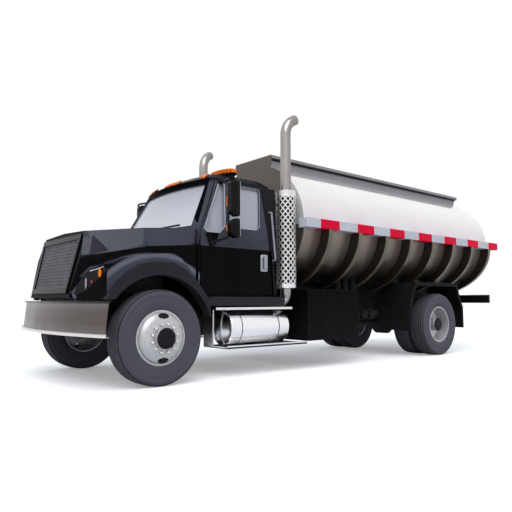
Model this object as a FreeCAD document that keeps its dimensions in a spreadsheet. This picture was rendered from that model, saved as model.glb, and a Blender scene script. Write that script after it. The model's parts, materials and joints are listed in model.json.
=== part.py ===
import FreeCAD, Part
import math
import os
import Sketcher

from FreeCAD import Rotation, Vector

# Conventional two-axle tanker truck, in millimetres.
# +X points forward, +Y to the driver's left, +Z up. The origin lies on the ground, under the
# middle of the overall length and width. Places along the truck are measured from the front axle.

doc = FreeCAD.newDocument("TankerTruck")
sheet = doc.addObject("Spreadsheet::Sheet", "Sizes")

SIZES = {
    # overall
    "overallLength": 8440, "overallHalfWidth": 1298, "frontOverhang": 915, "wheelbase": 5430, "seatGap": 0.3,
    # wheels
    "tyreRadius": 525, "tyreWidth": 280, "beadRadius": 292, "frontTyreY": 1030,
    "rearOuterTyreY": 1080, "rearInnerTyreY": 740, "hubBore": 46, "bearingGap": 0.5,
    "frontHubFace": 196, "rearDishDepth": 290, "rearHubFace": 90,
    "rimWall": 9, "flangeHeight": 14, "flangeThick": 3, "hubRadius": 112, "boltRingRadius": 175,
    "handHoleRadius": 27, "handHoleCircle": 232,
    # chassis
    "railTop": 1030, "railHeight": 270, "railOuterY": 430, "railFlange": 80, "railWall": 9,
    "railFront": 640, "railRear": 7380, "crossWidth": 90,
    "springWidth": 78, "frontSpringSpan": 1260, "rearSpringSpan": 1500, "springThick": 55,
    "beamHeight": 110, "beamWidth": 100, "beamTop": 575, "kingpinY": 840, "kingpinRadius": 20,
    "kingpinBoss": 45, "forkPlate": 30, "forkGap": 6, "axleTubeRadius": 75, "axleBowlRadius": 205,
    "shaftRadius": 45,
    # engine bay
    "engineFront": 380, "engineRear": 500, "engineHalfWidth": 320, "engineTop": 1450, "engineBottom": 620,
    "gearboxRear": 1600, "gearboxHalfWidth": 210, "gearboxTop": 940, "radiatorFront": 540,
    "radiatorDepth": 90, "radiatorHalfWidth": 425, "radiatorTop": 1545,
    # bumper
    "bumperTop": 925, "bumperBottom": 560, "bumperBow": 185,
    "bumperLean": 35, "bumperPlate": 6, "bumperLip": 45, "bumperBead": 18, "beadTopHigh": 20,
    "beadLowHigh": 40, "bumperBracketLow": 720, "bumperBracketHigh": 160,
    # hood
    "hoodWall": 14, "hoodSeam": 8, "noseLean": 156, "noseLow": 841, "noseBottom": 945,
    "noseTop": 1640, "archRadius": 705, "fenderOuterY": 1100, "fenderInnerY": 560, "flareOuterY": 1150,
    "flareInnerY": 1010, "hingeAhead": 800, "hingeHeight": 985, "hingePin": 16,
    "grilleLow": 1062, "grilleHigh": 1612, "grilleLowHalf": 508, "grilleHighHalf": 546,
    "surroundRim": 54, "surroundLap": 8, "surroundThick": 18, "meshThick": 12, "grilleGap": 4,
    "hoodLow": 960, "fenderLow": 932, "fenderLowEnd": 775,
    "lampSet": 4, "lampDepth": 46, "lampPocket": 80,
    # cab
    "cabFront": 543, "cabRear": 1860, "cabHalfWidth": 1000, "cabBottom": 985, "beltHeight": 1590,
    "cowlHeight": 1800, "roofEdge": 2435, "roofTop": 2570, "cabWall": 60, "floorThick": 60,
    "doorFront": 600, "doorSeam": 8, "doorRearSeam": 16, "doorSwingGap": 16, "dashSideGap": 55,
    "glassThick": 6, "glassInset": 24, "glassGap": 0.6,
    "tunnelHalfWidth": 470,
    "dashDepth": 300, "dashReach": 90, "dashTop": 1760, "seatHalfWidth": 250, "seatY": 470, "seatFront": 1150,
    "steerWheelRadius": 235, "steerRimRadius": 14,
    "cornerThick": 14, "cornerRear": 1854, "cornerLow": 1000, "cornerHigh": 2440,
    "markerLength": 90, "markerHeight": 24, "markerPitch": 120, "markerEndY": 650, "markerLong": 70,
    "beaconLength": 270, "beaconWidth": 120, "beaconY": 500,
    "beaconBack": 1300, "beaconBase": 2606, "beaconHeight": 75,
    "mirrorReach": 140, "mirrorBarBack": 900, "mirrorWidth": 150, "mirrorRim": 26, "mirrorBulge": 45,
    "barRadius": 14, "mirrorBarLow": 1668, "mirrorBarTop": 2440,
    # steps, tanks and boxes under the sides
    "sideFace": 1150, "skirtFront": 685, "skirtRear": 1885, "skirtTop": 977, "skirtBottom": 866,
    "stepBarTop": 848, "stepBarBottom": 818, "stepBarRear": 1970, "stepBarWidth": 60,
    "trayFront": 890, "trayRear": 2245,
    "trayTop": 372, "trayThick": 22, "trayInnerY": 660, "fuelRadius": 196, "fuelY": 905, "fuelHeight": 600,
    "fuelFront": 960, "fuelRear": 1975, "fuelDome": 35,
    "boxFront": 2256, "boxRear": 3340, "boxTop": 1085, "boxBottom": 385, "boxInnerY": 560, "boxWall": 20,
    "boxDoorThick": 25,
    # exhaust stacks
    "stackBack": 2000, "stackY": 1000, "pipeRadius": 72, "shieldRadius": 136, "shieldWall": 4,
    "shieldBottom": 1100, "shieldTop": 2420, "stackBend": 260, "stackBendStart": 3215, "stackTurn": 60,
    "stackTail": 55, "stackFootBend": 170, "stackFootStart": 1050,
    "stackRightDrop": 85, "stackSplay": 20, "mufflerRadius": 108, "mufflerLow": 1152, "mufflerTop": 2368,
    # tank
    "tankFront": 2250, "tankRear": 7350, "tankHalfWidth": 1100, "tankHalfHeight": 940, "tankCentre": 2030,
    "headBulge": 70, "ribFirst": 2640, "ribPitch": 650, "ribCount": 8, "ribWidth": 80,
    "ribHalfWidth": 1250, "ribHalfHeight": 885, "ribCentre": 1930,
    "sideRailLow": 1930, "sideRailTop": 2060,
    "sideRailFront": 2150,
    "troughHalf": 390, "troughWall": 15, "lipHalf": 430, "lipLow": 3045, "lipTop": 3105,
    "troughRear": 7490, "plateThick": 14, "plateFront": 2264,
    "lidCount": 3, "lidFirst": 3150, "lidPitch": 1650, "collarRadius": 250, "collarTop": 3005,
    "lidRadius": 262, "lidThick": 26, "lidHinge": 40,
    # rear end
    "beamRear": 7440, "beamHalf": 1100, "beamLow": 885, "beamHigh": 1045,
    "ladderY": 620, "ladderHalf": 190, "ladderTube": 16,
    "guardWall": 8, "guardRim": 60, "guardInnerY": 590, "guardInset": 15,
    "valveRadius": 70, "valveFirst": 3440, "valvePitch": 185,
}

for row, (alias, number) in enumerate(SIZES.items(), start=1):
    sheet.set(f"A{row}", alias)
    sheet.set(f"B{row}", str(number))
    sheet.setAlias(f"B{row}", alias)
doc.recompute()


class Size:
    """A number read from the sheet, with the expression that binds a property to it."""

    def __init__(self, text, number):
        self.text = text
        self.number = float(number)

    def __float__(self):
        return self.number

    def __add__(self, other):
        return combine(self, "+", other)

    def __radd__(self, other):
        return combine(other, "+", self)

    def __sub__(self, other):
        return combine(self, "-", other)

    def __rsub__(self, other):
        return combine(other, "-", self)

    def __mul__(self, other):
        return combine(self, "*", other)

    def __rmul__(self, other):
        return combine(other, "*", self)

    def __truediv__(self, other):
        return combine(self, "/", other)

    def __neg__(self):
        return combine(-1, "*", self)


def asSize(value):
    return value if isinstance(value, Size) else Size(repr(float(value)), value)


def combine(left, sign, right):
    a, b = asSize(left), asSize(right)
    number = {"+": a.number + b.number, "-": a.number - b.number, "*": a.number * b.number,
              "/": a.number / b.number if b.number else 0}[sign]
    return Size(f"({a.text} {sign} {b.text})", number)


class SizeBook:
    def __getattr__(self, alias):
        return Size(f"Sizes.{alias}", getattr(sheet, alias))


S = SizeBook()
axleX = S.overallLength / 2 - S.frontOverhang
rearAxleX = axleX - S.wheelbase


def behind(distance):
    """Place along the truck, measured back from the front axle."""
    return axleX - distance


def ahead(distance):
    return axleX + distance


# ---------------------------------------------------------------- building helpers

def bind(obj, prop, value):
    obj.setExpression(prop, asSize(value).text)


def place(obj, x=0, y=0, z=0):
    for axis, value in zip("xyz", (x, y, z)):
        bind(obj, f"Placement.Base.{axis}", value)


def boxAt(name, xs, ys, zs):
    """Box between a low and a high place along each axis."""
    obj = doc.addObject("Part::Box", name)
    for prop, (low, high) in zip(("Length", "Width", "Height"), (xs, ys, zs)):
        bind(obj, prop, high - low)
    place(obj, xs[0], ys[0], zs[0])
    return obj


TURNS = {"x": Rotation(Vector(0, 1, 0), 90), "y": Rotation(Vector(1, 0, 0), -90), "z": Rotation()}


def rod(name, along, radius, low, high, at):
    """Round bar along x, y or z from low to high; at holds the other two coordinates in order."""
    obj = doc.addObject("Part::Cylinder", name)
    bind(obj, "Radius", radius)
    bind(obj, "Height", high - low)
    obj.Placement = FreeCAD.Placement(Vector(), TURNS[along])
    centre = list(at)
    centre.insert("xyz".index(along), low)
    place(obj, *centre)
    return obj


def fuse(name, parts):
    obj = doc.addObject("Part::MultiFuse", name)
    obj.Shapes = parts
    obj.Refine = True
    return obj


def cut(name, base, tool):
    obj = doc.addObject("Part::Cut", name)
    obj.Base = base
    obj.Tool = tool
    return obj


def common(name, first, second):
    obj = doc.addObject("Part::MultiCommon", name)
    obj.Shapes = [first, second]
    return obj


def group(name, parts):
    """Like pieces on one body that don't touch share one node."""
    obj = doc.addObject("Part::Compound", name)
    obj.Links = parts
    return obj


def mirrored(name, source):
    obj = doc.addObject("Part::Mirroring", name)
    obj.Source = source
    obj.Normal = (0, 1, 0)
    return obj


def pair(name, left):
    """Left piece and its mirror image on the right."""
    return group(name, [left, mirrored(f"{name}Right", left)])


def feature(name, shape):
    obj = doc.addObject("Part::Feature", name)
    obj.Shape = shape
    return obj


PLANES = {"XZ": Rotation(Vector(1, 0, 0), 90),
          "YZ": Rotation(Vector(0, 1, 0), Vector(0, 0, 1), Vector(1, 0, 0), "XYZ"),
          "XY": Rotation()}
NORMALS = {"XZ": ("y", Vector(0, 1, 0)), "YZ": ("x", Vector(1, 0, 0)), "XY": ("z", Vector(0, 0, 1))}


def outline(name, plane, corners):
    """Closed sketch of straight lines; every corner is held by two bound dimensions."""
    sketch = doc.addObject("Sketcher::SketchObject", name)
    sketch.Placement = FreeCAD.Placement(Vector(), PLANES[plane])
    spots = [Vector(float(u), float(v), 0) for u, v in corners]
    count = len(spots)
    for i in range(count):
        sketch.addGeometry(Part.LineSegment(spots[i], spots[(i + 1) % count]))
    for i in range(count):
        sketch.addConstraint(Sketcher.Constraint("Coincident", i, 2, (i + 1) % count, 1))
    for i, (u, v) in enumerate(corners):
        for kind, value in (("DistanceX", asSize(u)), ("DistanceY", asSize(v))):
            index = sketch.addConstraint(Sketcher.Constraint(kind, -1, 1, i, 1, value.number))
            if "Sizes" in value.text:
                sketch.setExpression(f"Constraints[{index}]", value.text)
    return sketch


def extrude(name, plane, corners, low, high):
    """Prism of an outline, from low to high along the plane's normal."""
    sketch = outline(f"{name}Outline", plane, corners)
    axis, direction = NORMALS[plane]
    bind(sketch, f"Placement.Base.{axis}", low)
    obj = doc.addObject("Part::Extrusion", name)
    obj.Base = sketch
    obj.DirMode = "Custom"
    obj.Dir = direction
    bind(obj, "LengthFwd", high - low)
    obj.Solid = True
    return obj


def revolve(name, corners):
    """Ring about the Y axis of an outline given as (along the axle, radius)."""
    obj = doc.addObject("Part::Revolution", name)
    obj.Source = outline(f"{name}Outline", "YZ", corners)
    obj.Axis = (0, 1, 0)
    obj.Base = (0, 0, 0)
    obj.Angle = 360
    obj.Solid = True
    return obj


def polygonWire(points):
    spots = [Vector(*p) for p in points]
    return Part.makePolygon(spots + [spots[0]])


def prism(points, vector):
    return Part.Face(polygonWire(points)).extrude(vector)


def sweepTube(radius, wire):
    """Solid round bar along a path of straight runs and tangent arcs."""
    start = wire.OrderedVertexes[0].Point
    tangent = wire.OrderedEdges[0].tangentAt(wire.OrderedEdges[0].FirstParameter)
    circle = Part.Wire(Part.makeCircle(radius, start, tangent))
    return wire.makePipeShell([circle], True, False)


def bentPath(points, radius):
    """Path through points with its corners rounded to a radius."""
    spots = [Vector(*p) for p in points]
    edges, start = [], spots[0]
    for before, corner, after in zip(spots, spots[1:], spots[2:]):
        inward, outward = (before - corner).normalize(), (after - corner).normalize()
        half = inward.getAngle(outward) / 2
        reach = radius / math.tan(half)
        first, last = corner + inward * reach, corner + outward * reach
        middle = corner + (inward + outward).normalize() * (radius / math.sin(half) - radius)
        edges.append(Part.LineSegment(start, first).toShape())
        edges.append(Part.Arc(first, middle, last).toShape())
        start = last
    edges.append(Part.LineSegment(start, spots[-1]).toShape())
    return Part.Wire(edges)


pieces = []


def piece(label, obj):
    """Names a finished sub-part: its label names its file."""
    obj.Label = label
    pieces.append(obj)
    return obj


# ---------------------------------------------------------------- wheels

def tyre(name):
    half = S.tyreWidth / 2
    bead, foot = S.beadRadius + S.seatGap, 0.84 * half - S.flangeThick - S.seatGap
    over = bead + S.flangeHeight
    return revolve(name, [
        (-foot, bead), (-foot, over), (-0.86 * half, over), (-1 * half, S.tyreRadius - 115),
        (-0.95 * half, S.tyreRadius - 32), (-0.82 * half, S.tyreRadius), (0.82 * half, S.tyreRadius),
        (0.95 * half, S.tyreRadius - 32), (half, S.tyreRadius - 115), (0.86 * half, over),
        (foot, over), (foot, bead)])


def handHoles(name, face):
    holes = [rod(f"{name}Hole{i}", "y", S.handHoleRadius, face - 90, face + 60,
                 (0, sign * S.handHoleCircle)) for i, sign in enumerate((-1, 1))]
    return group(f"{name}Holes", holes)


def frontRim(name):
    """Convex disc with a raised bolt ring and a hub cap; its bore runs on the spindle."""
    half = S.tyreWidth / 2
    lip, wall = 0.84 * half, S.rimWall
    face = S.frontHubFace
    bore = S.hubBore + S.bearingGap
    disc = revolve(f"{name}Disc", [
        (-lip, S.beadRadius - wall), (lip - 18, S.beadRadius - wall), (face - 62, 262), (face - 34, 226),
        (face - 22, S.boltRingRadius), (face - 30, 130), (-80, 100), (-80, bore), (face - 60, bore),
        (face - 60, 0), (face + 34, 0), (face + 34, S.hubRadius - 14), (face + 22, S.hubRadius),
        (face - 8, S.hubRadius), (face - 8, S.boltRingRadius), (face - 20, 226), (face - 48, 268),
        (lip, S.beadRadius - wall), (lip, S.beadRadius + S.flangeHeight),
        (lip - S.flangeThick, S.beadRadius + S.flangeHeight), (lip - S.flangeThick, S.beadRadius),
        (-lip, S.beadRadius)])
    return cut(name, disc, handHoles(name, face - 40))


def rearRims(name):
    """Outer dished disc and inner rim, bolted back to back to a hub that stands out through the dish."""
    half = S.tyreWidth / 2
    lip, bead = 0.84 * half, S.beadRadius
    well = bead - S.rimWall
    inner = S.rearInnerTyreY - S.rearOuterTyreY
    dish = half - S.rearDishDepth
    bore = S.hubBore + S.bearingGap
    hub, face = S.hubRadius, S.rearHubFace
    outer = revolve(f"{name}Outer", [
        (-lip, bead), (lip - S.flangeThick, bead), (lip - S.flangeThick, bead + S.flangeHeight),
        (lip, bead + S.flangeHeight), (lip, well),
        (20 - lip, well), (dish + 24, 232), (dish, 178), (dish, hub), (face - 12, hub), (face, hub - 12),
        (face, 0), (face - 60, 0), (face - 60, bore), (dish - 14, bore), (dish - 14, 170),
        (dish + 8, 236), (-lip, well + 4)])
    drilled = cut(f"{name}OuterDrilled", outer, handHoles(f"{name}Outer", dish))
    mate = dish - 14 - S.seatGap
    rear = revolve(f"{name}Inner", [
        (inner + lip, bead), (inner - lip, bead), (inner - lip, well), (inner + lip - 20, well),
        (mate - 42, 232), (mate - 14, 178), (mate - 14, 80), (mate, 80), (mate, 170),
        (mate - 26, 236), (inner + lip, well + 4)])
    return drilled, rear


# position  place along the truck, tyre centre across
WHEELS = [("front", axleX, S.frontTyreY), ("rear", rearAxleX, S.rearOuterTyreY)]

for position, wheelX, wheelY in WHEELS:
    for tag, sign in (("left", 1), ("right", -1)):
        name = f"{position}{tag.title()}"
        if position == "front":
            tyres = tyre(f"{name}Tyre")
            rims = frontRim(f"{name}Rim")
        else:
            near, far = tyre(f"{name}TyreOuter"), tyre(f"{name}TyreInner")
            place(far, y=S.rearInnerTyreY - S.rearOuterTyreY)
            tyres = group(f"{name}Tyres", [near, far])
            rims = group(f"{name}Rims", rearRims(f"{name}Rim"))
        if sign < 0:
            tyres, rims = mirrored(f"{name}TyreSide", tyres), mirrored(f"{name}RimSide", rims)
        for label, obj in ((f"{position}_tyre_{tag}", tyres), (f"{position}_rim_{tag}", rims)):
            place(obj, wheelX, sign * wheelY, S.tyreRadius)
            piece(label, obj)


# ---------------------------------------------------------------- chassis

def channel(name, low, high):
    """Left frame rail: a channel open towards the middle."""
    inner = S.railOuterY - S.railFlange
    web = S.railOuterY - S.railWall
    bottom = S.railTop - S.railHeight
    return extrude(name, "YZ", [
        (inner, bottom), (S.railOuterY, bottom), (S.railOuterY, S.railTop), (inner, S.railTop),
        (inner, S.railTop - S.railWall), (web, S.railTop - S.railWall), (web, bottom + S.railWall),
        (inner, bottom + S.railWall)], low, high)


def frame():
    rail = channel("rail", behind(S.railRear), ahead(S.railFront))
    parts = [rail, mirrored("railRight", rail)]
    web = S.railOuterY - S.railWall / 2
    # place behind the front axle, height above the rail's bottom
    crossMembers = [(-560, 20), (1750, 60), (2900, 60), (4300, 60), (6300, 60), (7200, 60)]
    for i, (back, lift) in enumerate(crossMembers):
        low = S.railTop - S.railHeight + lift
        parts.append(boxAt(f"cross{i}", (behind(back) - S.crossWidth / 2, behind(back) + S.crossWidth / 2),
                           (-web, web), (low, low + 120)))
    # sills that the tank rests on, shaped to the tank's underside
    sill = boxAt("sill", (behind(S.tankRear - 60), behind(S.tankFront + 60)),
                 (S.railOuterY - S.railFlange, S.railOuterY), (S.railTop, S.railTop + 260))
    belly = feature("sillBelly", tankSolid(float(S.seatGap), S.tankHalfWidth, S.tankHalfHeight,
                                           S.tankCentre, 2000, 8000))
    place(belly, axleX)
    cradle = cut("cradle", sill, belly)
    parts += [cradle, mirrored("cradleRight", cradle)]
    # horns ahead of the rails, with the pin that the hood tilts on
    height = S.hingeHeight
    horn = boxAt("hoodHorn", (ahead(S.railFront) - 5, ahead(S.hingeAhead)), (S.railOuterY - 50, S.railOuterY),
                 (height - S.hingePin, height + S.hingePin))
    parts += [horn, mirrored("hoodHornRight", horn)]
    parts.append(rod("hoodPin", "y", S.hingePin, -1 * S.railOuterY, S.railOuterY,
                     (ahead(S.hingeAhead), height)))
    return piece("chassis_frame", fuse("chassisFrame", parts))


def tankSolid(grow, halfWidth, halfHeight, centre, front=None, rear=None):
    """Elliptical prism along the truck, in front-axle places, grown all round by a few millimetres."""
    front = float(S.tankFront if front is None else front)
    rear = float(S.tankRear if rear is None else rear)
    wide, high = float(halfWidth) + grow, float(halfHeight) + grow
    return Part.Face(ovalWire(-front, wide, high, float(centre))).extrude(Vector(front - rear, 0, 0))


def ovalWire(x, wide, high, centre):
    """Ellipse across the truck."""
    major, minor = (wide, high) if wide >= high else (high, wide)
    turn = Rotation(Vector(0, 1, 0), Vector(0, 0, 1), Vector(1, 0, 0), "XYZ")
    if high > wide:
        turn = Rotation(Vector(0, 0, 1), Vector(0, -1, 0), Vector(1, 0, 0), "XYZ")
    edge = Part.Ellipse(Vector(), major, minor).toShape()
    edge.Placement = FreeCAD.Placement(Vector(x, 0, centre), turn)
    return Part.Wire(edge)


frame()


def leafSpring(name, middle, span, seat):
    """Leaf pack under a rail: bowed down in the middle, its ends in hangers up to the rail."""
    half, thick = span / 2, S.springThick
    hanger = S.railTop - S.railHeight - S.seatGap
    low, high = S.railOuterY - S.springWidth, S.railOuterY
    return extrude(name, "XZ", [
        (middle - half, hanger - 70), (middle - half * 0.45, seat), (middle + half * 0.45, seat),
        (middle + half, hanger - 70), (middle + half, hanger), (middle + half - 60, hanger),
        (middle + half - 60, hanger - 30), (middle + half * 0.4, seat + thick),
        (middle - half * 0.4, seat + thick), (middle - half + 60, hanger - 30),
        (middle - half + 60, hanger), (middle - half, hanger)], low, high)


frontSeat = S.beamTop + S.seatGap
rearSeat = S.tyreRadius + S.axleTubeRadius + S.seatGap
springs = [leafSpring("springFront", axleX, S.frontSpringSpan, frontSeat),
           leafSpring("springRear", rearAxleX, S.rearSpringSpan, rearSeat)]
springs += [mirrored(f"{one.Name}Right", one) for one in springs]
piece("leaf_springs", group("leafSprings", springs))


def frontAxle():
    """Dropped I-shaped beam with an eye at each end for the kingpin."""
    x = (axleX - S.beamWidth / 2, axleX + S.beamWidth / 2)
    low = S.beamTop - S.beamHeight
    beam = boxAt("beamMiddle", x, (-1 * (S.kingpinY - 30), S.kingpinY - 30), (low, S.beamTop))
    grooves = [boxAt(f"beamGroove{i}", (edge - 28, edge + 28), (-620, 620), (low + 26, S.beamTop - 26))
               for i, edge in enumerate(x)]
    eyes = [rod(f"beamEye{i}", "z", S.kingpinBoss, low, S.beamTop, (axleX, sign * S.kingpinY))
            for i, sign in enumerate((-1, 1))]
    holes = [rod(f"beamHole{i}", "z", S.kingpinRadius + S.bearingGap, low - 5, S.beamTop + 5,
                 (axleX, sign * S.kingpinY)) for i, sign in enumerate((-1, 1))]
    body = fuse("beamBody", [beam] + eyes)
    return cut("frontAxle", body, group("beamCuts", grooves + holes))


piece("front_axle", frontAxle())


def knuckle(name, sign):
    """Fork round the axle's eye, its kingpin, and the spindle that the hub runs on."""
    low = S.beamTop - S.beamHeight
    webY = S.kingpinY + S.kingpinBoss + 14

    def across(near, far):
        return (near, far) if sign > 0 else (-far, -near)

    x = (axleX - 46, axleX + 46)
    top = boxAt(f"{name}Top", x, across(S.kingpinY - 42, webY + 30),
                (S.beamTop + S.forkGap, S.beamTop + S.forkGap + S.forkPlate))
    foot = boxAt(f"{name}Foot", x, across(S.kingpinY - 42, webY + 30),
                 (low - S.forkGap - S.forkPlate, low - S.forkGap))
    web = boxAt(f"{name}Web", x, across(webY, webY + 30), (low - S.forkGap - S.forkPlate,
                                                           S.beamTop + S.forkGap + S.forkPlate))
    pin = rod(f"{name}Pin", "z", S.kingpinRadius, low - S.forkGap - 5, S.beamTop + S.forkGap + 5,
              (axleX, sign * S.kingpinY))
    reach = across(webY + 20, S.frontTyreY + S.frontHubFace - 70)
    spindle = rod(f"{name}Spindle", "y", S.hubBore, reach[0], reach[1], (axleX, S.tyreRadius))
    return fuse(name, [top, foot, web, pin, spindle])


for tag, sign in (("left", 1), ("right", -1)):
    piece(f"knuckle_{tag}", knuckle(f"knuckle{tag.title()}", sign))


def rearAxle():
    """Tube with the bowl of the final drive in the middle and a spindle at each end."""
    end = S.rearOuterTyreY + S.rearHubFace - 70
    tube = S.axleTubeRadius
    bowl = S.axleBowlRadius
    body = revolve("rearAxleBody", [
        (-1 * end, 0), (end, 0), (end, S.hubBore), (590, S.hubBore), (590, tube), (240, tube),
        (110, bowl), (-110, bowl), (-240, tube), (-590, tube), (-590, S.hubBore), (-1 * end, S.hubBore)])
    nose = rod("pinionNose", "x", 62, 0, bowl + 90, (0, 0))
    whole = fuse("rearAxle", [body, nose])
    place(whole, rearAxleX, 0, S.tyreRadius)
    return whole


piece("rear_axle", rearAxle())
piece("drive_shaft", rod("driveShaft", "x", S.shaftRadius, rearAxleX + S.axleBowlRadius + 90 + S.seatGap,
                         behind(S.gearboxRear) - S.seatGap, (0, S.tyreRadius)))


def engine():
    """Engine and gearbox in one plain block between the rails, and the radiator on the rails ahead."""
    block = boxAt("engine", (behind(S.engineRear), ahead(S.engineFront)),
                  (-1 * S.engineHalfWidth, S.engineHalfWidth), (S.engineBottom + 60, S.engineTop))
    box = boxAt("gearbox", (behind(S.gearboxRear), behind(S.engineRear)),
                (-1 * S.gearboxHalfWidth, S.gearboxHalfWidth), (S.tyreRadius - S.shaftRadius - 20,
                                                                 S.gearboxTop))
    feet = boxAt("engineFeet", (behind(140), ahead(-40)),
                 (-1 * (S.railOuterY - S.railWall - S.seatGap), S.railOuterY - S.railWall - S.seatGap),
                 (S.railTop - 120, S.railTop - 30))
    return fuse("engineBlock", [block, box, feet])


piece("engine_block", engine())
radiator = boxAt("radiator", (ahead(S.radiatorFront - S.radiatorDepth), ahead(S.radiatorFront)),
                 (-1 * S.radiatorHalfWidth, S.radiatorHalfWidth), (S.railTop + S.seatGap, S.radiatorTop))
piece("radiator", radiator)


# ---------------------------------------------------------------- bumper

def bowLine(halfWidth, endX, bow, z):
    """Arc in plan, bowed forward in the middle; returns its edge."""
    return Part.Arc(Vector(endX, -halfWidth, z), Vector(endX + bow, 0, z),
                    Vector(endX, halfWidth, z)).toShape()


def bowedPlate(halfWidth, levels, thick, bow):
    """Plate that follows a bowed line; each level gives the height and the place of its ends."""
    wires = []
    for z, x in levels:
        front = bowLine(halfWidth, x, bow, z)
        back = bowLine(halfWidth, x - thick, bow, z)
        sides = [Part.makeLine(Vector(x, y, z), Vector(x - thick, y, z)) for y in (-halfWidth, halfWidth)]
        wires.append(Part.Wire(Part.__sortEdges__([front, back] + sides)))
    return Part.makeLoft(wires, True, True)


def bumper():
    """Bright face plate that leans out at the bottom, with a raised bead and a lip along top and bottom."""
    bead, top, low = float(S.bumperBead), float(S.bumperTop), float(S.bumperBottom)
    half = float(S.overallHalfWidth) - bead
    endX = float(S.frontOverhang - S.bumperBow) - bead
    lean, thick, lip = float(S.bumperLean), float(S.bumperPlate), float(S.bumperLip)
    bow = float(S.bumperBow)
    upper, lower = float(S.beadTopHigh), float(S.beadLowHigh)
    back = endX - lean
    beads = [bowedPlate(half + bead, [(top - upper, back + bead / 2), (top - upper / 2, back + bead),
                                      (top, back + bead)], bead + thick, bow),
             bowedPlate(half + bead, [(low, endX + bead), (low + lower * 0.6, endX + bead),
                                      (low + lower, endX + bead / 3)], bead + thick, bow)]
    face = bowedPlate(half, [(low, endX), (top, endX - lean)], thick, bow)
    topLip = bowedPlate(half, [(top - thick, endX - lean), (top, endX - lean)], lip, bow)
    lowLip = bowedPlate(half, [(low, endX), (low + thick, endX)], lip, bow)
    start = float(S.railFront + S.seatGap)
    deep, under = float(S.bumperBracketHigh), float(S.bumperBracketLow)
    brackets = [Part.makeBox(endX + bow - 12 - start, 80, deep, Vector(start, y - 40, under))
                for y in (-390, 390)]
    shape = face.fuse([topLip, lowLip] + beads)
    trim = bowedPlate(half, [(low, endX - thick / 2), (top, endX - lean - thick / 2)], 600, bow)
    shape = shape.fuse([b.common(trim) for b in brackets]).removeSplitter()
    obj = feature("bumper", shape)
    place(obj, axleX)
    return obj


piece("bumper", bumper())


# ---------------------------------------------------------------- hood and fenders

def loftThrough(wires):
    return Part.makeLoft([Part.Wire(w.Edges) for w in wires], True, True)


# place from the front axle, crown height, shoulder, crease, lower edge (each across, height)
HOOD_SECTIONS = [
    (880, 1690, (583, 1672), (620, 1400), (560, 900)),
    (610, 1728, (600, 1705), (752, 1428), (760, 900)),
    (50, 1806, (800, 1764), (884, 1542), (890, 900)),
    (-535, 1862, (972, 1797), (1004, 1589), (1003, 985)),
]


def hoodBody(inset):
    """Tapering body of the hood, set in all round by a wall's thickness."""
    wires = []
    for x, crown, shoulder, crease, edge in HOOD_SECTIONS:
        low = edge[1] - (400 if inset else 0)
        half = [(shoulder[0] - inset, shoulder[1] - inset), (crease[0] - inset, crease[1]),
                (edge[0] - inset, low)]
        points = [(x, 0, crown - inset)] + [(x, y, z) for y, z in half]
        points += [(x, -y, z) for y, z in reversed(half)]
        wires.append(polygonWire(points))
    shape = loftThrough(wires)
    if inset:
        rear = wires[-1]
        shape = shape.fuse(Part.Face(rear).extrude(Vector(-60, 0, 0)))
    return shape


# (place, height) round a fender's side, from its front foot over the top to its rear foot
FENDER_SIDE = [(760, 930), (742, 1180), (655, 1297), (542, 1325), (431, 1378), (280, 1410), (98, 1438),
               (-90, 1461), (-185, 1456), (-290, 1400), (-408, 1268), (-525, 1110), (-594, 1000),
               (-594, 930)]


def fenderBlock(sign, inset):
    """Fender over one front wheel; its front is swept back towards the outside."""
    middle = 80
    outer, inner = float(S.fenderOuterY) - inset, float(S.fenderInnerY)
    points = []
    for x, z in FENDER_SIDE:
        shrink = (x - middle) * (1 - inset / 640)
        points.append((middle + shrink, 0, z - inset if z > 940 else z - (400 if inset else 0)))
    block = prism([(x, sign * inner, z) for x, y, z in points], Vector(0, sign * (outer - inner), 0))
    nose = [(820 - inset, sign * 540, 0), (610 - inset, sign * 1120, 0), (1000, sign * 1120, 0),
            (1000, sign * 540, 0)]
    wedge = prism([(x, y, 400) for x, y, z in nose], Vector(0, 0, 1400))
    return block.cut(wedge)


def noseWedge(inset):
    """Everything ahead of the leaning nose panel."""
    low, bottom, top = float(S.noseLow) - inset, float(S.noseBottom), float(S.noseTop)
    slope = float(S.noseLean) / (top - bottom)
    high, base = top + 300, bottom - 400
    return prism([(low + slope * (bottom - base), -900, base), (low - slope * (high - bottom), -900, high),
                  (1500, -900, high), (1500, -900, base)], Vector(0, 1800, 0))


def noseX(height):
    """Place of the nose panel's face at a height."""
    return float(S.noseLow) - float(S.noseLean) * (height - float(S.noseBottom)) \
        / float(S.noseTop - S.noseBottom)


def wheelArch(sign, radius, near, far):
    start = min(sign * near, sign * far)
    return Part.makeCylinder(radius, far - near, Vector(0, start, float(S.tyreRadius)), Vector(0, 1, 0))


def grilleOutline(spread, low, high):
    """Corners of the grille's opening, as (across, height), grown by a spread."""
    a, b = float(S.grilleLowHalf) + spread, float(S.grilleHighHalf) + spread
    return [(-a, low), (-b, high), (b, high), (a, low)]


# (across, height) round the lamp recess in a fender's front corner
LAMP_OUTLINE = [(632, 1000), (657, 985), (812, 1032), (954, 1133), (1082, 1232), (1084, 1262), (1048, 1285),
                (861, 1240), (777, 1216), (690, 1112)]


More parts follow.
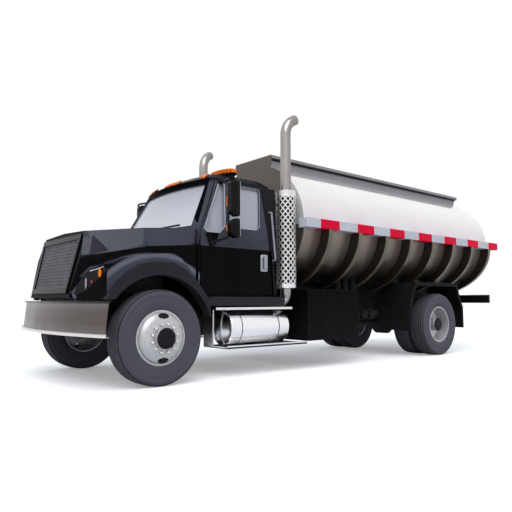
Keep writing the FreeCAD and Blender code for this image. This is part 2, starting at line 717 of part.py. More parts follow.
def lampSolid(sign, spread, inner, outer):
    """Prism of the lamp's outline along the way the fender's front corner faces."""
    wire = polygonWire([(0, y, z) for y, z in LAMP_OUTLINE])
    if spread:
        wire = wire.makeOffset2D(spread, 2, False, False)
    facing = Vector(0.94, 0.34, 0)
    # points of the fender's front face, straight ahead of the outline
    spots = [Vector(703 - (v.Point.y - 851) * facing.y / facing.x, v.Point.y, v.Point.z)
             for v in wire.OrderedVertexes]
    face = Part.Face(Part.makePolygon([p - facing * inner for p in spots + spots[:1]]))
    solid = face.extrude(facing * (inner + outer))
    return solid if sign > 0 else solid.mirror(Vector(), Vector(0, 1, 0))


def hood():
    wall, arch = float(S.hoodWall), float(S.archRadius)
    outer = hoodBody(0).cut(noseWedge(0))
    inner = hoodBody(wall).cut(noseWedge(wall))
    for sign in (-1, 1):
        outer = outer.fuse(fenderBlock(sign, 0))
        inner = inner.fuse(fenderBlock(sign, wall))
    under, skirt, end = float(S.hoodLow), float(S.fenderLow), float(S.fenderLowEnd)
    side = float(S.overallHalfWidth)
    low = prism([(-700, -side, 300), (1200, -side, 300), (1200, -side, under), (end, -side, under),
                 (end, -side, skirt), (-700, -side, skirt)], Vector(0, 2 * side, 0))
    shell = outer.cut(inner)
    # eyes on the nose panel that turn on the chassis pin
    pin = float(S.hingePin + S.bearingGap)
    axis = Vector(float(S.hingeAhead), 0, float(S.hingeHeight))
    low = low.cut(Part.makeCylinder(pin + 14, 760, axis - Vector(0, 380, 0), Vector(0, 1, 0)))
    for sign in (-1, 1):
        eye = Part.makeCylinder(pin + 14, 50, axis + Vector(0, sign * 330 - 25, 0), Vector(0, 1, 0))
        shell = shell.fuse(eye)
    shell = shell.cut(Part.makeCylinder(pin, 760, axis - Vector(0, 380, 0), Vector(0, 1, 0)))
    opening = grilleOutline(0, float(S.grilleLow), float(S.grilleHigh))
    holes = [prism([(300, y, z) for y, z in opening], Vector(900, 0, 0)), low,
             cabSolid(-float(S.hoodSeam), 900)]
    for sign in (-1, 1):
        holes += [wheelArch(sign, arch, 560, 1300), lampSolid(sign, 0, float(S.lampPocket), 200)]
    for hole in holes:
        shell = shell.cut(hole)
    solids = sorted(shell.Solids, key=lambda solid: solid.Volume)
    obj = feature("hood", solids[-1])
    place(obj, axleX)
    return obj


def cabSection(row, inset):
    """Horizontal outline of the cab: bowed windshield side, corner posts, sides and back."""
    z, arcX, arcY, bulge, sideX, sideY, rearX, rearY = row
    spots = [(arcX - inset, arcY - inset * 0.7), (sideX - inset, sideY - inset),
             (rearX + 60, sideY - inset), (rearX + inset, rearY - inset * 0.7)]
    edges = [Part.Arc(Vector(spots[0][0], -spots[0][1], z), Vector(arcX - inset + bulge, 0, z),
                      Vector(spots[0][0], spots[0][1], z)).toShape()]
    left = [Vector(x, y, z) for x, y in spots]
    right = [Vector(x, -y, z) for x, y in reversed(spots)]
    chain = left + right
    edges += [Part.makeLine(a, b) for a, b in zip(chain, chain[1:])]
    return Part.Wire(Part.__sortEdges__(edges))


# height, bowed front (end place, end across, bow), side start, side across, back, back corner across
front, wide, rear = float(S.cabFront), float(S.cabHalfWidth), float(S.cabRear)
belt, cowl = float(S.beltHeight), float(S.cowlHeight)
eave, crown = float(S.roofEdge), float(S.roofTop)
CAB_SECTIONS = [
    (float(S.cabBottom), -front, wide - 40, 6, -front - 32, wide, -rear, wide - 40),
    (belt, -front, wide - 40, 6, -front - 32, wide + 5, -rear, wide - 35),
    (cowl, 13 - front, wide - 100, 80, -front - 42, wide - 14, -rear, wide - 54),
    (eave, -front - 319, wide - 210, 88, -front - 387, wide - 128, 2 - rear, wide - 170),
    (eave + 55, -front - 329, wide - 235, 100, -front - 402, wide - 162, 10 - rear, wide - 200),
    (crown, -front - 457, wide - 320, 80, -front - 517, wide - 280, 80 - rear, wide - 320),
]


def cabSolid(inset, bottom=None):
    """Outer form of the cab, set in by a distance on every side."""
    rows = []
    for i, row in enumerate(CAB_SECTIONS):
        z = row[0]
        if i == 0:
            z = z + inset if bottom is None else bottom
        if i == len(CAB_SECTIONS) - 1:
            z = z - inset
        rows.append((z,) + row[1:])
    return loftThrough([cabSection(row, inset) for row in rows])


piece("hood", hood())


def fenderFlare(sign):
    """Satin lip round the wheel arch, proud of the fender's side."""
    arch, inner, outer = float(S.archRadius), float(S.flareInnerY), float(S.flareOuterY)
    trace = [(640, 942), (612, 1000), (520, 1120), (370, 1250), (236, 1328), (90, 1352), (-141, 1354),
             (-313, 1277), (-463, 1155), (-590, 1000), (-652, 930), (-655, 740)]
    points = [(x, 0, z) for x, z in trace] + [(-500, 0, 740), (-500, 0, 600), (640, 0, 600)]
    block = prism([(x, sign * inner, z) for x, y, z in points], Vector(0, sign * (outer - inner), 0))
    lip = block.cut(wheelArch(sign, arch - 22, inner - 10, outer + 10))
    side = float(S.overallHalfWidth)
    keep = prism([(-700, -side, 735), (-420, -side, 735), (0, -side, 942), (640, -side, 942),
                  (900, -side, 1500), (-900, -side, 1500)], Vector(0, 2 * side, 0))
    fender = fenderBlock(sign, -0.3)
    under = wheelArch(sign, arch - 0.3, 500, float(S.fenderOuterY) + 0.3)
    return max(lip.common(keep).cut(fender.cut(under)).Solids, key=lambda solid: solid.Volume)


flares = feature("fenderFlares", Part.Compound([fenderFlare(1), fenderFlare(-1)]))
place(flares, axleX)
piece("fender_flares", flares)


def grille():
    """Bright surround, and the mesh panel that it frames."""
    gap, thick = float(S.grilleGap), float(S.meshThick)

    def leaning(forward, spread):
        low, high = float(S.grilleLow) - spread, float(S.grilleHigh) + spread
        return [(noseX(z) + forward, y, z) for y, z in grilleOutline(spread, low, high)]

    mesh = prism(leaning(-thick, -gap), Vector(thick, 0, 0))
    frameThick = float(S.surroundThick)
    edge, lap = float(S.surroundRim), float(S.surroundLap)
    rim = prism(leaning(float(S.seatGap), edge), Vector(frameThick, 0, 0))
    rim = rim.cut(prism(leaning(-5, -lap), Vector(80, 0, 0)))
    return feature("grilleMesh", mesh), feature("grilleSurround", rim)


mesh, surround = grille()
for label, obj in (("grille_mesh", mesh), ("grille_surround", surround)):
    place(obj, axleX)
    piece(label, obj)


def headlamp(sign):
    """Lamp unit that fills its recess, set a little below the fender's face."""
    return lampSolid(sign, -float(S.seatGap), float(S.lampDepth), -float(S.lampSet))


lamps = feature("headlamps", Part.Compound([headlamp(1), headlamp(-1)]))
place(lamps, axleX)
piece("headlamps", lamps)


# ---------------------------------------------------------------- cab

# (place, height) round a door and its window, seen from the left
DOOR_FRONT = -float(S.doorFront)
DOOR_OUTLINE = [(DOOR_FRONT, 990), (DOOR_FRONT, 1776), (-905, 2434), (-940, 2452), (-1640, 2452),
                (-1666, 2425),
                (-1712, 1590), (-1770, 990)]
VENT_OUTLINE = [(-655, 1800), (-700, 1760), (-890, 1757), (-990, 1850), (-1046, 2400), (-1030, 2412),
                (-960, 2412), (-938, 2398)]
WINDOW_OUTLINE = [(-1032, 1843), (-1500, 1843), (-1550, 1890), (-1622, 2375), (-1592, 2412), (-1090, 2412)]
WINDSHIELD_OUTLINE = [(-880, 1835), (-756, 2385), (-728, 2412), (728, 2412), (756, 2385), (880, 1835)]
REAR_WINDOW = [(-560, 1860), (-560, 2330), (560, 2330), (560, 1860)]


def sidePrism(corners, sign, spread=0.0, rear=None):
    """Prism through one side of the cab, its outline grown by a spread."""
    wire = polygonWire([(x, 0, z) for x, z in corners])
    if spread:
        wire = wire.makeOffset2D(spread, 2, False, False)
    solid = Part.Face(wire).extrude(Vector(0, 700, 0))
    solid.translate(Vector(0, 500 if sign > 0 else -1200, 0))
    if rear is not None:
        solid = solid.cut(Part.makeBox(400, 3000, 3000, Vector(-2000 - rear, -1500, 0)))
    return solid


def acrossPrism(corners, x, length, spread=0.0):
    """Prism along the truck of an outline given as (across, height)."""
    wire = polygonWire([(x, y, z) for y, z in corners])
    if spread:
        wire = wire.makeOffset2D(spread, 2, False, False)
    return Part.Face(wire).extrude(Vector(length, 0, 0))


def biggest(shape, count=1):
    solids = sorted(shape.Solids, key=lambda solid: -solid.Volume)
    return solids[0] if count == 1 else Part.Compound(solids[:count])


cabWall = float(S.cabWall)
cabOuter = cabSolid(0)
cabWalls = cabOuter.cut(cabSolid(cabWall, float(S.cabBottom + S.floorThick)))


def shiftedBack(shape, distance):
    copy = shape.copy()
    copy.translate(Vector(-distance, 0, 0))
    return copy


def cabShell():
    """Hollow cab: floor over the rails, firewall, posts, roof and back, with doors and windows cut."""
    tunnel = float(S.tunnelHalfWidth)
    top = float(S.railTop + S.seatGap)
    hump = Part.makeBox(1250, 2 * tunnel + 80, 120, Vector(-1840, -tunnel - 40, float(S.cabBottom)))
    shell = cabWalls.fuse(hump)
    shell = shell.cut(Part.makeBox(1500, 2 * tunnel, top - 900, Vector(-1900, -tunnel, 900)))
    skinZone = cabOuter.cut(cabSolid(cabWall + float(S.doorSwingGap), 900))
    for sign in (-1, 1):
        shell = shell.cut(sidePrism(DOOR_OUTLINE, sign).common(skinZone))
    shell = shell.cut(acrossPrism(WINDSHIELD_OUTLINE, -1000, 800))
    shell = shell.cut(acrossPrism(REAR_WINDOW, -2000, 300))
    # hinge leaves that fill the seam at each door's front edge
    front = -DOOR_FRONT
    for sign in (-1, 1):
        for low in (1120, 1600):
            start = float(S.seatGap - S.doorSeam) - front
            leaf = Part.makeBox(18, 35, 80, Vector(start, sign * 967.5 - 17.5, low))
            shell = shell.fuse(leaf)
    obj = feature("cabShell", biggest(shell))
    place(obj, axleX)
    return obj


def door(sign):
    """Door as thick as the cab's wall, with its window cut."""
    seam, rear = float(S.doorSeam), float(S.doorRearSeam)
    panel = sidePrism(DOOR_OUTLINE, sign, -seam)
    panel = panel.common(shiftedBack(sidePrism(DOOR_OUTLINE, sign, -seam), -(rear - seam)))
    walls = cabOuter.cut(cabSolid(cabWall, 900))
    panes = sidePrism(WINDOW_OUTLINE, sign).fuse(sidePrism(VENT_OUTLINE, sign))
    return biggest(walls.common(panel).cut(panes))


def glassSkin(inset):
    thick = float(S.glassThick)
    return cabSolid(inset, 1100).cut(cabSolid(inset + thick, 1000))


piece("cab_shell", cabShell())
skin = glassSkin(float(S.glassInset))
clear = -float(S.glassGap) / 2
windows = [biggest(skin.common(acrossPrism(WINDSHIELD_OUTLINE, -960, 700, clear))),
           biggest(skin.common(acrossPrism(REAR_WINDOW, -1900, 200, clear)))]
glass = feature("cabGlass", Part.Compound(windows))
place(glass, axleX)
piece("cab_glass", glass)

for tag, sign in (("left", 1), ("right", -1)):
    panel = feature(f"door{tag.title()}", door(sign))
    place(panel, axleX)
    piece(f"door_{tag}", panel)
    panes = [biggest(skin.common(sidePrism(opening, sign, clear)))
             for opening in (VENT_OUTLINE, WINDOW_OUTLINE)]
    pane = feature(f"doorGlass{tag.title()}", Part.Compound(panes))
    place(pane, axleX)
    piece(f"door_glass_{tag}", pane)


def dashboard():
    """Dash across the firewall, with the column and the wheel in front of the driver."""
    front = S.cabFront + S.cabWall
    nose = front - S.dashReach
    inner = S.cabHalfWidth - S.cabWall
    room = feature("dashRoom", cabSolid(cabWall + float(S.dashSideGap), 1000))
    place(room, axleX + S.dashSideGap - S.seatGap)
    dash = extrude("dashForm", "XZ", [
        (behind(nose), S.dashTop), (behind(nose), 1250), (behind(front + S.dashDepth * 0.6), 1300),
        (behind(front + S.dashDepth), 1520), (behind(front + S.dashDepth * 0.75), S.dashTop - 30)],
        -1 * inner, inner)
    dash = common("dash", dash, room)
    column = Part.makeCylinder(30, 330, Vector(-780, float(S.seatY), 1500), Vector(-0.82, 0, 0.57))
    hubEnd = Vector(-780, float(S.seatY), 1500) + Vector(-0.82, 0, 0.57).normalize() * 330
    ring = Part.makeTorus(float(S.steerWheelRadius), float(S.steerRimRadius), hubEnd, Vector(-0.82, 0, 0.57))
    spoke = Part.makeBox(30, 2 * float(S.steerWheelRadius), 16,
                         Vector(-15, -float(S.steerWheelRadius), -8))
    spoke.Placement = FreeCAD.Placement(hubEnd, Rotation(Vector(0, 0, 1), Vector(-0.82, 0, 0.57))) \
        .multiply(spoke.Placement)
    wheel = feature("steeringColumn", column.fuse([ring, spoke]))
    place(wheel, axleX)
    return fuse("dashboard", [dash, wheel])


def seats():
    """Driver's and passenger's seats on their boxes."""
    low = S.cabBottom + 120 + S.seatGap
    near, far = S.seatY - S.seatHalfWidth, S.seatY + S.seatHalfWidth
    back = S.seatFront + 470
    left = extrude("seatLeft", "XZ", [
        (behind(S.seatFront + 60), low), (behind(S.seatFront + 60), 1330), (behind(S.seatFront), 1350),
        (behind(S.seatFront), 1460), (behind(back - 20), 1450), (behind(back + 40), 2080),
        (behind(back + 140), 2080), (behind(back + 90), 1380), (behind(back + 60), low)], near, far)
    return pair("seats", left)


piece("dashboard", dashboard())
piece("seats", seats())


# height, door's rear edge, cab's side there, across at the panel's rear edge
CORNER_LEVELS = [(float(S.cornerLow), -1769, 1000, 962), (1590, -1712, 1005, 962), (1800, -1700, 986, 956),
                 (2300, -1673, 896, 936), (float(S.cornerHigh), -1666, 870, 915)]


def cornerBlock(grow):
    """Upright panel round the cab's rear corner, grown outward where asked."""
    thick, rear = float(S.cornerThick) + grow, -float(S.cornerRear)
    wires = []
    for z, x, side, back in CORNER_LEVELS:
        start = x - float(S.doorSeam)
        wires.append(polygonWire([(start, side - 50, z), (start, side + thick, z), (rear, back + thick, z),
                                  (rear, back - 90, z)]))
    return Part.makeLoft(wires, True, True)


def cornerPanel():
    """Dark cover over the cab's rear corner, from the door to the back."""
    return biggest(cornerBlock(0).cut(cabSolid(-float(S.seatGap))))


corners = pair("cornerPanels", feature("cornerPanel", cornerPanel()))
place(corners, axleX)
piece("corner_panels", corners)


def roofLamps():
    """Five marker lamps on the roof's front edge, and the beacon on its left half."""
    shapes = []
    roof = cabSolid(float(-S.seatGap))
    pitch, end, long = float(S.markerPitch), float(S.markerEndY), float(S.markerLong)
    for y, x in ((-end, -935), (-pitch, -850), (0, -845), (pitch, -850), (end, -935)):
        length, high = float(S.markerLength), float(S.markerHeight)
        block = Part.makeBox(long, length, 170, Vector(x, y - length / 2, eave))
        shape = block.cut(roof)
        top = cabSolid(-high)
        shapes.append(biggest(shape.common(top)))
    return shapes


def beacon():
    """Low beacon bar, oval in plan, on a foot at each end."""
    a, b = float(S.beaconLength), float(S.beaconWidth)
    base, high = float(S.beaconBase), float(S.beaconHeight)
    x, y = -float(S.beaconBack), float(S.beaconY)
    wires = []
    for z, part in ((base, 0.93), (base + 22, 1.0), (base + high - 14, 1.0), (base + high, 0.9)):
        edge = Part.Ellipse(Vector(x, y, z), a * part, b * part).toShape()
        edge.rotate(Vector(x, y, z), Vector(0, 0, 1), 90)
        wires.append(Part.Wire(edge))
    body = loftThrough(wires)
    roof = cabSolid(float(-S.seatGap))
    feet = [Part.makeBox(70, 60, 120, Vector(x - 35, y + side * 190 - 30, base - 115)).cut(roof)
            for side in (-1, 1)]
    return body.fuse([biggest(foot) for foot in feet])


lampSet = feature("roofLamps", Part.Compound(roofLamps() + [beacon()]))
place(lampSet, axleX)
piece("roof_lamps", lampSet)


def mirror(sign):
    """Upright bar on two arms from the door with a tall and a short head; the right ones are folded in."""
    barY, barX = float(S.overallHalfWidth - S.mirrorReach), -float(S.mirrorBarBack)
    low, high = float(S.mirrorBarLow), float(S.mirrorBarTop)
    tube, wide = float(S.barRadius), float(S.mirrorWidth)
    path = bentPath([(-762, 1000, low - 18), (-820, 1060, low - 12), (barX, barY, low + 25),
                     (barX, barY, high - 25), (-985, 870, high - 18)], 30)
    foot = prism([(-687, 900, 1744), (-851, 900, 1757), (-800, 900, 1600), (-738, 900, 1576)],
                 Vector(0, 135, 0))
    pad = Part.makeBox(60, 60, 44, Vector(-1010, 840, high - 44))
    start = float(S.overallHalfWidth) - wide if sign > 0 else barY + tube / 2 - wide
    heads = [mirrorHead(barX - tube / 2, start, wide, bottom, top)
             for bottom, top in ((1966, 2386), (1696, 1898))]
    shape = sweepTube(tube, path).fuse([foot, pad] + heads)
    links = [Part.makeBox(34, 30, 20, Vector(barX - 34, barY - 15, z)) for z in (2040, 2300, 1750, 1830)]
    shape = biggest(shape.fuse(links).cut(cabSolid(-float(S.seatGap))))
    return shape if sign > 0 else shape.mirror(Vector(), Vector(0, 1, 0))


def mirrorHead(x, near, wide, low, high):
    """Shallow bowl: a rounded rim behind, narrowing to a smaller back in front."""
    rim, bulge = float(S.mirrorRim), float(S.mirrorBulge)
    plate = Part.makeBox(rim, wide, high - low, Vector(x - rim, near, low))
    plate = plate.makeFillet(24, [edge for edge in plate.Edges
                                  if abs(edge.Vertexes[0].X - edge.Vertexes[1].X) > rim - 1])
    wires = []
    for place_, inset in ((x - 1, 6), (x + bulge * 0.6, 16), (x + bulge, 38)):
        near_, far = near + inset, near + wide - inset
        corner = 18
        wires.append(polygonWire([
            (place_, near_ + corner, low + inset), (place_, far - corner, low + inset),
            (place_, far, low + inset + corner), (place_, far, high - inset - corner),
            (place_, far - corner, high - inset), (place_, near_ + corner, high - inset),
            (place_, near_, high - inset - corner), (place_, near_, low + inset + corner)]))
    return plate.fuse(Part.makeLoft(wires, True, True))


for tag, sign in (("left", 1), ("right", -1)):
    obj = feature(f"mirror{tag.title()}", mirror(sign))
    place(obj, axleX)
    piece(f"mirror_{tag}", obj)


# ---------------------------------------------------------------- steps, tanks and boxes

piece("cab_skirts", pair("cabSkirts", boxAt(
    "skirt", (behind(S.skirtRear), behind(S.skirtFront)), (S.railOuterY + S.seatGap, S.sideFace - 50),
    (S.skirtBottom, S.skirtTop))))


def stepTray():
    """Bright step bar over the fuel tank on two arms, and the tray under it with its front plate."""
    bar = boxAt("stepBar", (behind(S.stepBarRear), behind(S.skirtFront + 45)),
                (S.sideFace - S.stepBarWidth, S.sideFace), (S.stepBarBottom, S.stepBarTop))
    arms = [boxAt(f"stepArm{i}", (behind(back) - 30, behind(back) + 30),
                  (S.railOuterY + S.seatGap, S.sideFace - S.stepBarWidth / 2),
                  (S.stepBarBottom, S.stepBarTop))
            for i, back in enumerate((S.trayFront + 40, S.stepBarRear - 140))]
    tray = boxAt("tray", (behind(S.trayRear), behind(S.trayFront)), (S.trayInnerY, S.sideFace),
                 (S.trayTop - S.trayThick, S.trayTop))
    front = boxAt("trayFront", (behind(S.trayFront + 14), behind(S.trayFront)),
                  (S.trayInnerY, S.sideFace), (S.trayTop - 5, S.stepBarBottom + 5))
    return fuse("stepTray", [bar, tray, front] + arms)


piece("step_trays", pair("stepTrays", stepTray()))


def fuelTank():
    """Round tank lying along the frame, with shallow domed ends, on two saddles to the rail."""
    r, dome = float(S.fuelRadius), float(S.fuelDome)
    front, rear = -float(S.fuelFront), -float(S.fuelRear)
    y, z = float(S.fuelY), float(S.fuelHeight)
    # share of the dome's depth, share of the radius
    half = [(0, 0), (0.12, 0.35), (0.35, 0.68), (0.65, 0.88), (1, 1)]
    points = [(front - dome * deep, 0, r * wide) for deep, wide in half]
    points += [(rear + dome * deep, 0, r * wide) for deep, wide in reversed(half)]
    body = Part.Face(polygonWire(points)).revolve(Vector(), Vector(1, 0, 0), 360)
    body.translate(Vector(0, y, z))
    inner = float(S.railOuterY + S.seatGap)
    saddles = [Part.makeBox(60, y - inner, 55, Vector(x - 30, inner, float(S.stepBarBottom) - 57))
               for x in (front - 220, rear + 220)]
    return feature("fuelTank", body.fuse(saddles).removeSplitter())


fuel = pair("fuelTanks", fuelTank())
place(fuel, axleX)
piece("fuel_tanks", fuel)


def toolBox():
    """Open-fronted box hung from the rail; its door closes the outer side."""
    x = (behind(S.boxRear), behind(S.boxFront))
    wall = S.boxWall
    face = S.sideFace - S.boxDoorThick - S.seatGap
    outer = boxAt("boxOuter", x, (S.boxInnerY, face), (S.boxBottom, S.boxTop))
    hollow = boxAt("boxHollow", (x[0] + wall, x[1] - wall), (S.boxInnerY + wall, S.sideFace),
                   (S.boxBottom + wall, S.boxTop - wall))
    shell = cut("boxShell", outer, hollow)
    arms = [boxAt(f"boxArm{i}", (behind(back) - 40, behind(back) + 40),
                  (S.railOuterY + S.seatGap, S.boxInnerY + 5), (S.railTop - 200, S.railTop - 60))
            for i, back in enumerate((S.boxFront + 200, S.boxRear - 200))]
    return fuse("toolBoxBody", [shell] + arms)


piece("tool_boxes", pair("toolBoxes", toolBox()))

for tag, sign in (("left", 1), ("right", -1)):
    near, far = S.sideFace - S.boxDoorThick, S.sideFace
    ys = (near, far) if sign > 0 else (-far, -near)
    piece(f"box_door_{tag}", boxAt(
        f"boxDoor{tag.title()}", (behind(S.boxRear), behind(S.boxFront)), ys,
        (S.boxBottom, S.boxTop)))


# ---------------------------------------------------------------- exhaust stacks

def stackPipe(drop, splay):
    """Pipe from the rail up through the muffler in the shield, straight up, and turned back at the top."""
    x, y = -float(S.stackBack), float(S.stackY)
    r, bend = float(S.pipeRadius), float(S.stackBend)
    turn, aside = math.radians(float(S.stackTurn)), math.radians(float(splay))
    low = float(S.stackFootStart) - float(S.stackFootBend)
    corner = bend * math.tan(turn / 2)
    back = Vector(-math.cos(aside), math.sin(aside), 0)
    slant = back * math.sin(turn) + Vector(0, 0, math.cos(turn))
    topCorner = Vector(x, y, float(S.stackBendStart) - float(drop) + corner)
    end = topCorner + slant * (corner + float(S.stackTail))
    middle = (x, y, float(S.mufflerLow) + 100)
    lower = bentPath([(x, float(S.railOuterY + S.seatGap), low), (x, y, low), middle],
                     float(S.stackFootBend))
    upper = bentPath([middle, tuple(topCorner), tuple(end)], bend)
    muffler = Part.makeCylinder(float(S.mufflerRadius), float(S.mufflerTop - S.mufflerLow),
                                Vector(x, y, float(S.mufflerLow)))
    solid = sweepTube(r, lower).fuse([sweepTube(r, upper), muffler])
    mouth = Part.makeCylinder(r - 5, 160, end - slant * 120, slant)
    return feature("stackPipe", solid.cut(mouth))


pipes = group("exhaustPipes", [stackPipe(0, 0),
                               mirrored("stackRight", stackPipe(S.stackRightDrop, S.stackSplay))])
place(pipes, axleX)
piece("exhaust_pipes", pipes)


def shield():
    """Round guard that stands off the pipe, held by a ring at each end."""
    at = (behind(S.stackBack), S.stackY)
    outer = rod("shieldOuter", "z", S.shieldRadius, S.shieldBottom, S.shieldTop, at)
    inner = rod("shieldInner", "z", S.shieldRadius - S.shieldWall, S.shieldBottom - 5, S.shieldTop + 5, at)
    wall = cut("shieldWall", outer, inner)
    rings = []
    for i, level in enumerate((S.shieldBottom + 20, S.shieldTop - 40)):
        disc = rod(f"shieldDisc{i}", "z", S.shieldRadius - 1, level, level + 12, at)
        hole = rod(f"shieldHole{i}", "z", S.pipeRadius + S.seatGap, level - 5, level + 20, at)
        rings.append(cut(f"shieldRing{i}", disc, hole))
    return fuse("shield", [wall] + rings)


piece("stack_shields", pair("stackShields", shield()))


def guards():
    """Arms from the cab's back to each shield."""
    parts = []
    for i, level in enumerate((1280, 2240)):
        parts.append(boxAt(f"shieldArm{i}", (behind(S.stackBack) - 22, behind(S.stackBack) + 22),
                           (700, S.stackY - S.shieldRadius), (level, level + 44)))
        parts.append(boxAt(f"shieldFoot{i}", (behind(S.stackBack) - 22, behind(S.cabRear) - S.seatGap),
                           (700, 760), (level, level + 44)))
    post = boxAt("shieldPost", (behind(S.stackBack) - 22, behind(S.stackBack) + 22),
                 (716, 760), (1260, 2300))
    body = fuse("guardBody", parts + [post])
    clearRod = rod("guardClear", "z", S.shieldRadius + S.seatGap, 1000, 2500,
                   (behind(S.stackBack), S.stackY))
    return cut("stackGuard", body, clearRod)


piece("stack_guards", pair("stackGuards", guards()))


def grabRail():
    """Upright grab rail behind the door, with its feet on the cab."""
    path = bentPath([(-1754, 960, 1457), (-1754, 1060, 1457), (-1738, 1000, 2105), (-1738, 880, 2105)], 22)
    shape = sweepTube(13, path).cut(cornerBlock(float(S.seatGap)))
    return biggest(shape)


rails = pair("grabRails", feature("grabRail", grabRail()))
place(rails, axleX)
piece("grab_rails", rails)


# ---------------------------------------------------------------- tank

def lidPlaces():
    first, pitch = float(S.lidFirst), float(S.lidPitch)
    return [first + i * pitch for i in range(int(float(S.lidCount)))]


def tankHead(grow=0.0):
    """Shallow bulging rear head, grown outward by a few tenths of a millimetre where asked."""
    wide, high = float(S.tankHalfWidth) + grow, float(S.tankHalfHeight) + grow
    rear, bulge = float(S.tankRear), float(S.headBulge)
    # share of the bulge, share of the section
    head = [(0, 1.0), (0.45, 0.93), (0.8, 0.72), (1.0, 0.40)]
    return loftThrough([ovalWire(-rear - bulge * out - grow, wide * part, high * part, float(S.tankCentre))
                        for out, part in head])


def tankShell():
    """Elliptical shell with a shallow rear head, and a welded collar under each manhole lid."""
    wide, high, centre = float(S.tankHalfWidth), float(S.tankHalfHeight), float(S.tankCentre)
    body = tankSolid(0, wide, high, centre).fuse(tankHead())
    for back in lidPlaces():
        collar = Part.makeCylinder(float(S.collarRadius), float(S.collarTop) - centre,
                                   Vector(-back, 0, centre))
        hinge = -back - float(S.lidRadius + S.lidHinge)
        post = Part.makeBox(44, 140, float(S.collarTop) - centre, Vector(hinge - 22, -70, centre))
        body = body.fuse([collar, post])
    return feature("tankShell", body)


shell = tankShell()
place(shell, axleX)
piece("tank_shell", shell)


def tankRib(back):
    """Stiffening ring round the lower half of the tank, deepest at the sides."""
    width = float(S.ribWidth)
    ring = tankSolid(0, S.ribHalfWidth, S.ribHalfHeight, S.ribCentre, back - width / 2, back + width / 2)
    core = tankSolid(float(S.seatGap), S.tankHalfWidth, S.tankHalfHeight, S.tankCentre)
    top = float(S.sideRailLow - S.seatGap)
    lower = Part.makeBox(width + 20, 3000, 1500, Vector(-back - width / 2 - 10, -1500, top - 1500))
    return ring.common(lower).cut(core)


def tankRibs():
    first, pitch = float(S.ribFirst), float(S.ribPitch)
    sill = float(S.railOuterY)
    parts = []
    for i in range(int(float(S.ribCount))):
        parts += tankRib(first + i * pitch).Solids
    rests = Part.makeBox(7000, 2 * sill + 1, 1000, Vector(-8000, -sill - 0.5, 600))
    parts = [part.cut(rests) for part in parts]
    return feature("tankRibs", Part.Compound([s for part in parts for s in part.Solids]))


ribs = tankRibs()
place(ribs, axleX)
piece("tank_ribs", ribs)


def sideRail():
    """Hollow rail along the tank's side, its inner side fitted to the shell."""
    low, top, outer = float(S.sideRailLow), float(S.sideRailTop), float(S.ribHalfWidth)
    front, rear = -float(S.sideRailFront), -railEnd()
    block = Part.makeBox(front - rear, outer - 1000, top - low, Vector(rear, 1000, low))
    core = tankSolid(float(S.seatGap), S.tankHalfWidth, S.tankHalfHeight, S.tankCentre, 2000, 8000)
    return biggest(block.cut(core))


def railCore(sign):
    """Space that a side rail takes up, with a seat's gap all round."""
    gap = float(S.seatGap)
    low, high = float(S.sideRailLow) - gap, float(S.sideRailTop) + gap
    return Part.makeBox(8000, 400, high - low, Vector(-8500, 1000 if sign > 0 else -1400, low))


def railEnd():
    """Rear end of the side rails: the rearmost point of the truck, behind the front axle."""
    return float(S.overallLength - S.frontOverhang)


sides = pair("sideRails", feature("sideRail", sideRail()))
place(sides, axleX)
piece("side_rails", sides)


def trough():
    """Coaming round the manholes: two walls with turned-out lips, closed at the rear."""
    half, wall = float(S.troughHalf), float(S.troughWall)
    lip, low, top = float(S.lipHalf), float(S.lipLow), float(S.lipTop)
    front, rear = -float(S.tankFront), -float(S.troughRear)
    base = 2800
    profile = [(-lip, top), (-lip, low), (-half, low), (-half, base), (-half + wall, base),
               (-half + wall, top)]
    walls = [prism([(rear, y * side, z) for y, z in profile], Vector(front - rear, 0, 0))
             for side in (1, -1)]
    end = Part.makeBox(wall, 2 * half, top - base - 20, Vector(rear + 40, -half, base))
    lipEnd = Part.makeBox(60, 2 * lip, top - low, Vector(rear, -lip, low))
    shape = walls[0].fuse([walls[1], end, lipEnd])
    rake = prism([(rear - 1, -500, base - 1), (rear - 1, -500, low), (rear + 20, -500, low),
                  (rear + 140, -500, base - 1)], Vector(0, 1000, 0))
    gap = float(S.seatGap)
    core = tankSolid(gap, S.tankHalfWidth, S.tankHalfHeight, S.tankCentre, 2000, S.tankRear + 2)
    shape = shape.cut(core).cut(tankHead(gap + 1))
    return biggest(shape.cut(rake))


coaming = feature("topTrough", trough())
place(coaming, axleX)
piece("top_trough", coaming)


def frontPlate():
    """Flat front head with a raised block that closes the trough."""
    x, thick = -float(S.plateFront) + float(S.plateThick) + 0.3, float(S.plateThick)
    oval = Part.Face(ovalWire(x, float(S.tankHalfWidth) + 12, float(S.tankHalfHeight) + 12,
                              float(S.tankCentre))).extrude(Vector(thick, 0, 0))
    lip, top, half = float(S.lipHalf), float(S.lipTop), float(S.troughHalf)
    crown = [(-lip, top), (-lip, 2960), (-half, 2925), (-half - 90, 2893), (-640, 2779), (-640, 2500),
             (640, 2500), (640, 2779), (half + 90, 2893), (half, 2925), (lip, 2960), (lip, top)]
    block = prism([(x, y, z) for y, z in crown], Vector(thick, 0, 0))
    whole = oval.fuse(block)
    for sign in (-1, 1):
        notch = railCore(sign).cut(tankSolid(float(S.seatGap), S.tankHalfWidth, S.tankHalfHeight,
                                             S.tankCentre, 2000, 8000))
        whole = whole.cut(notch)
    return feature("frontPlate", whole)


plate = frontPlate()
place(plate, axleX)
piece("front_plate", plate)

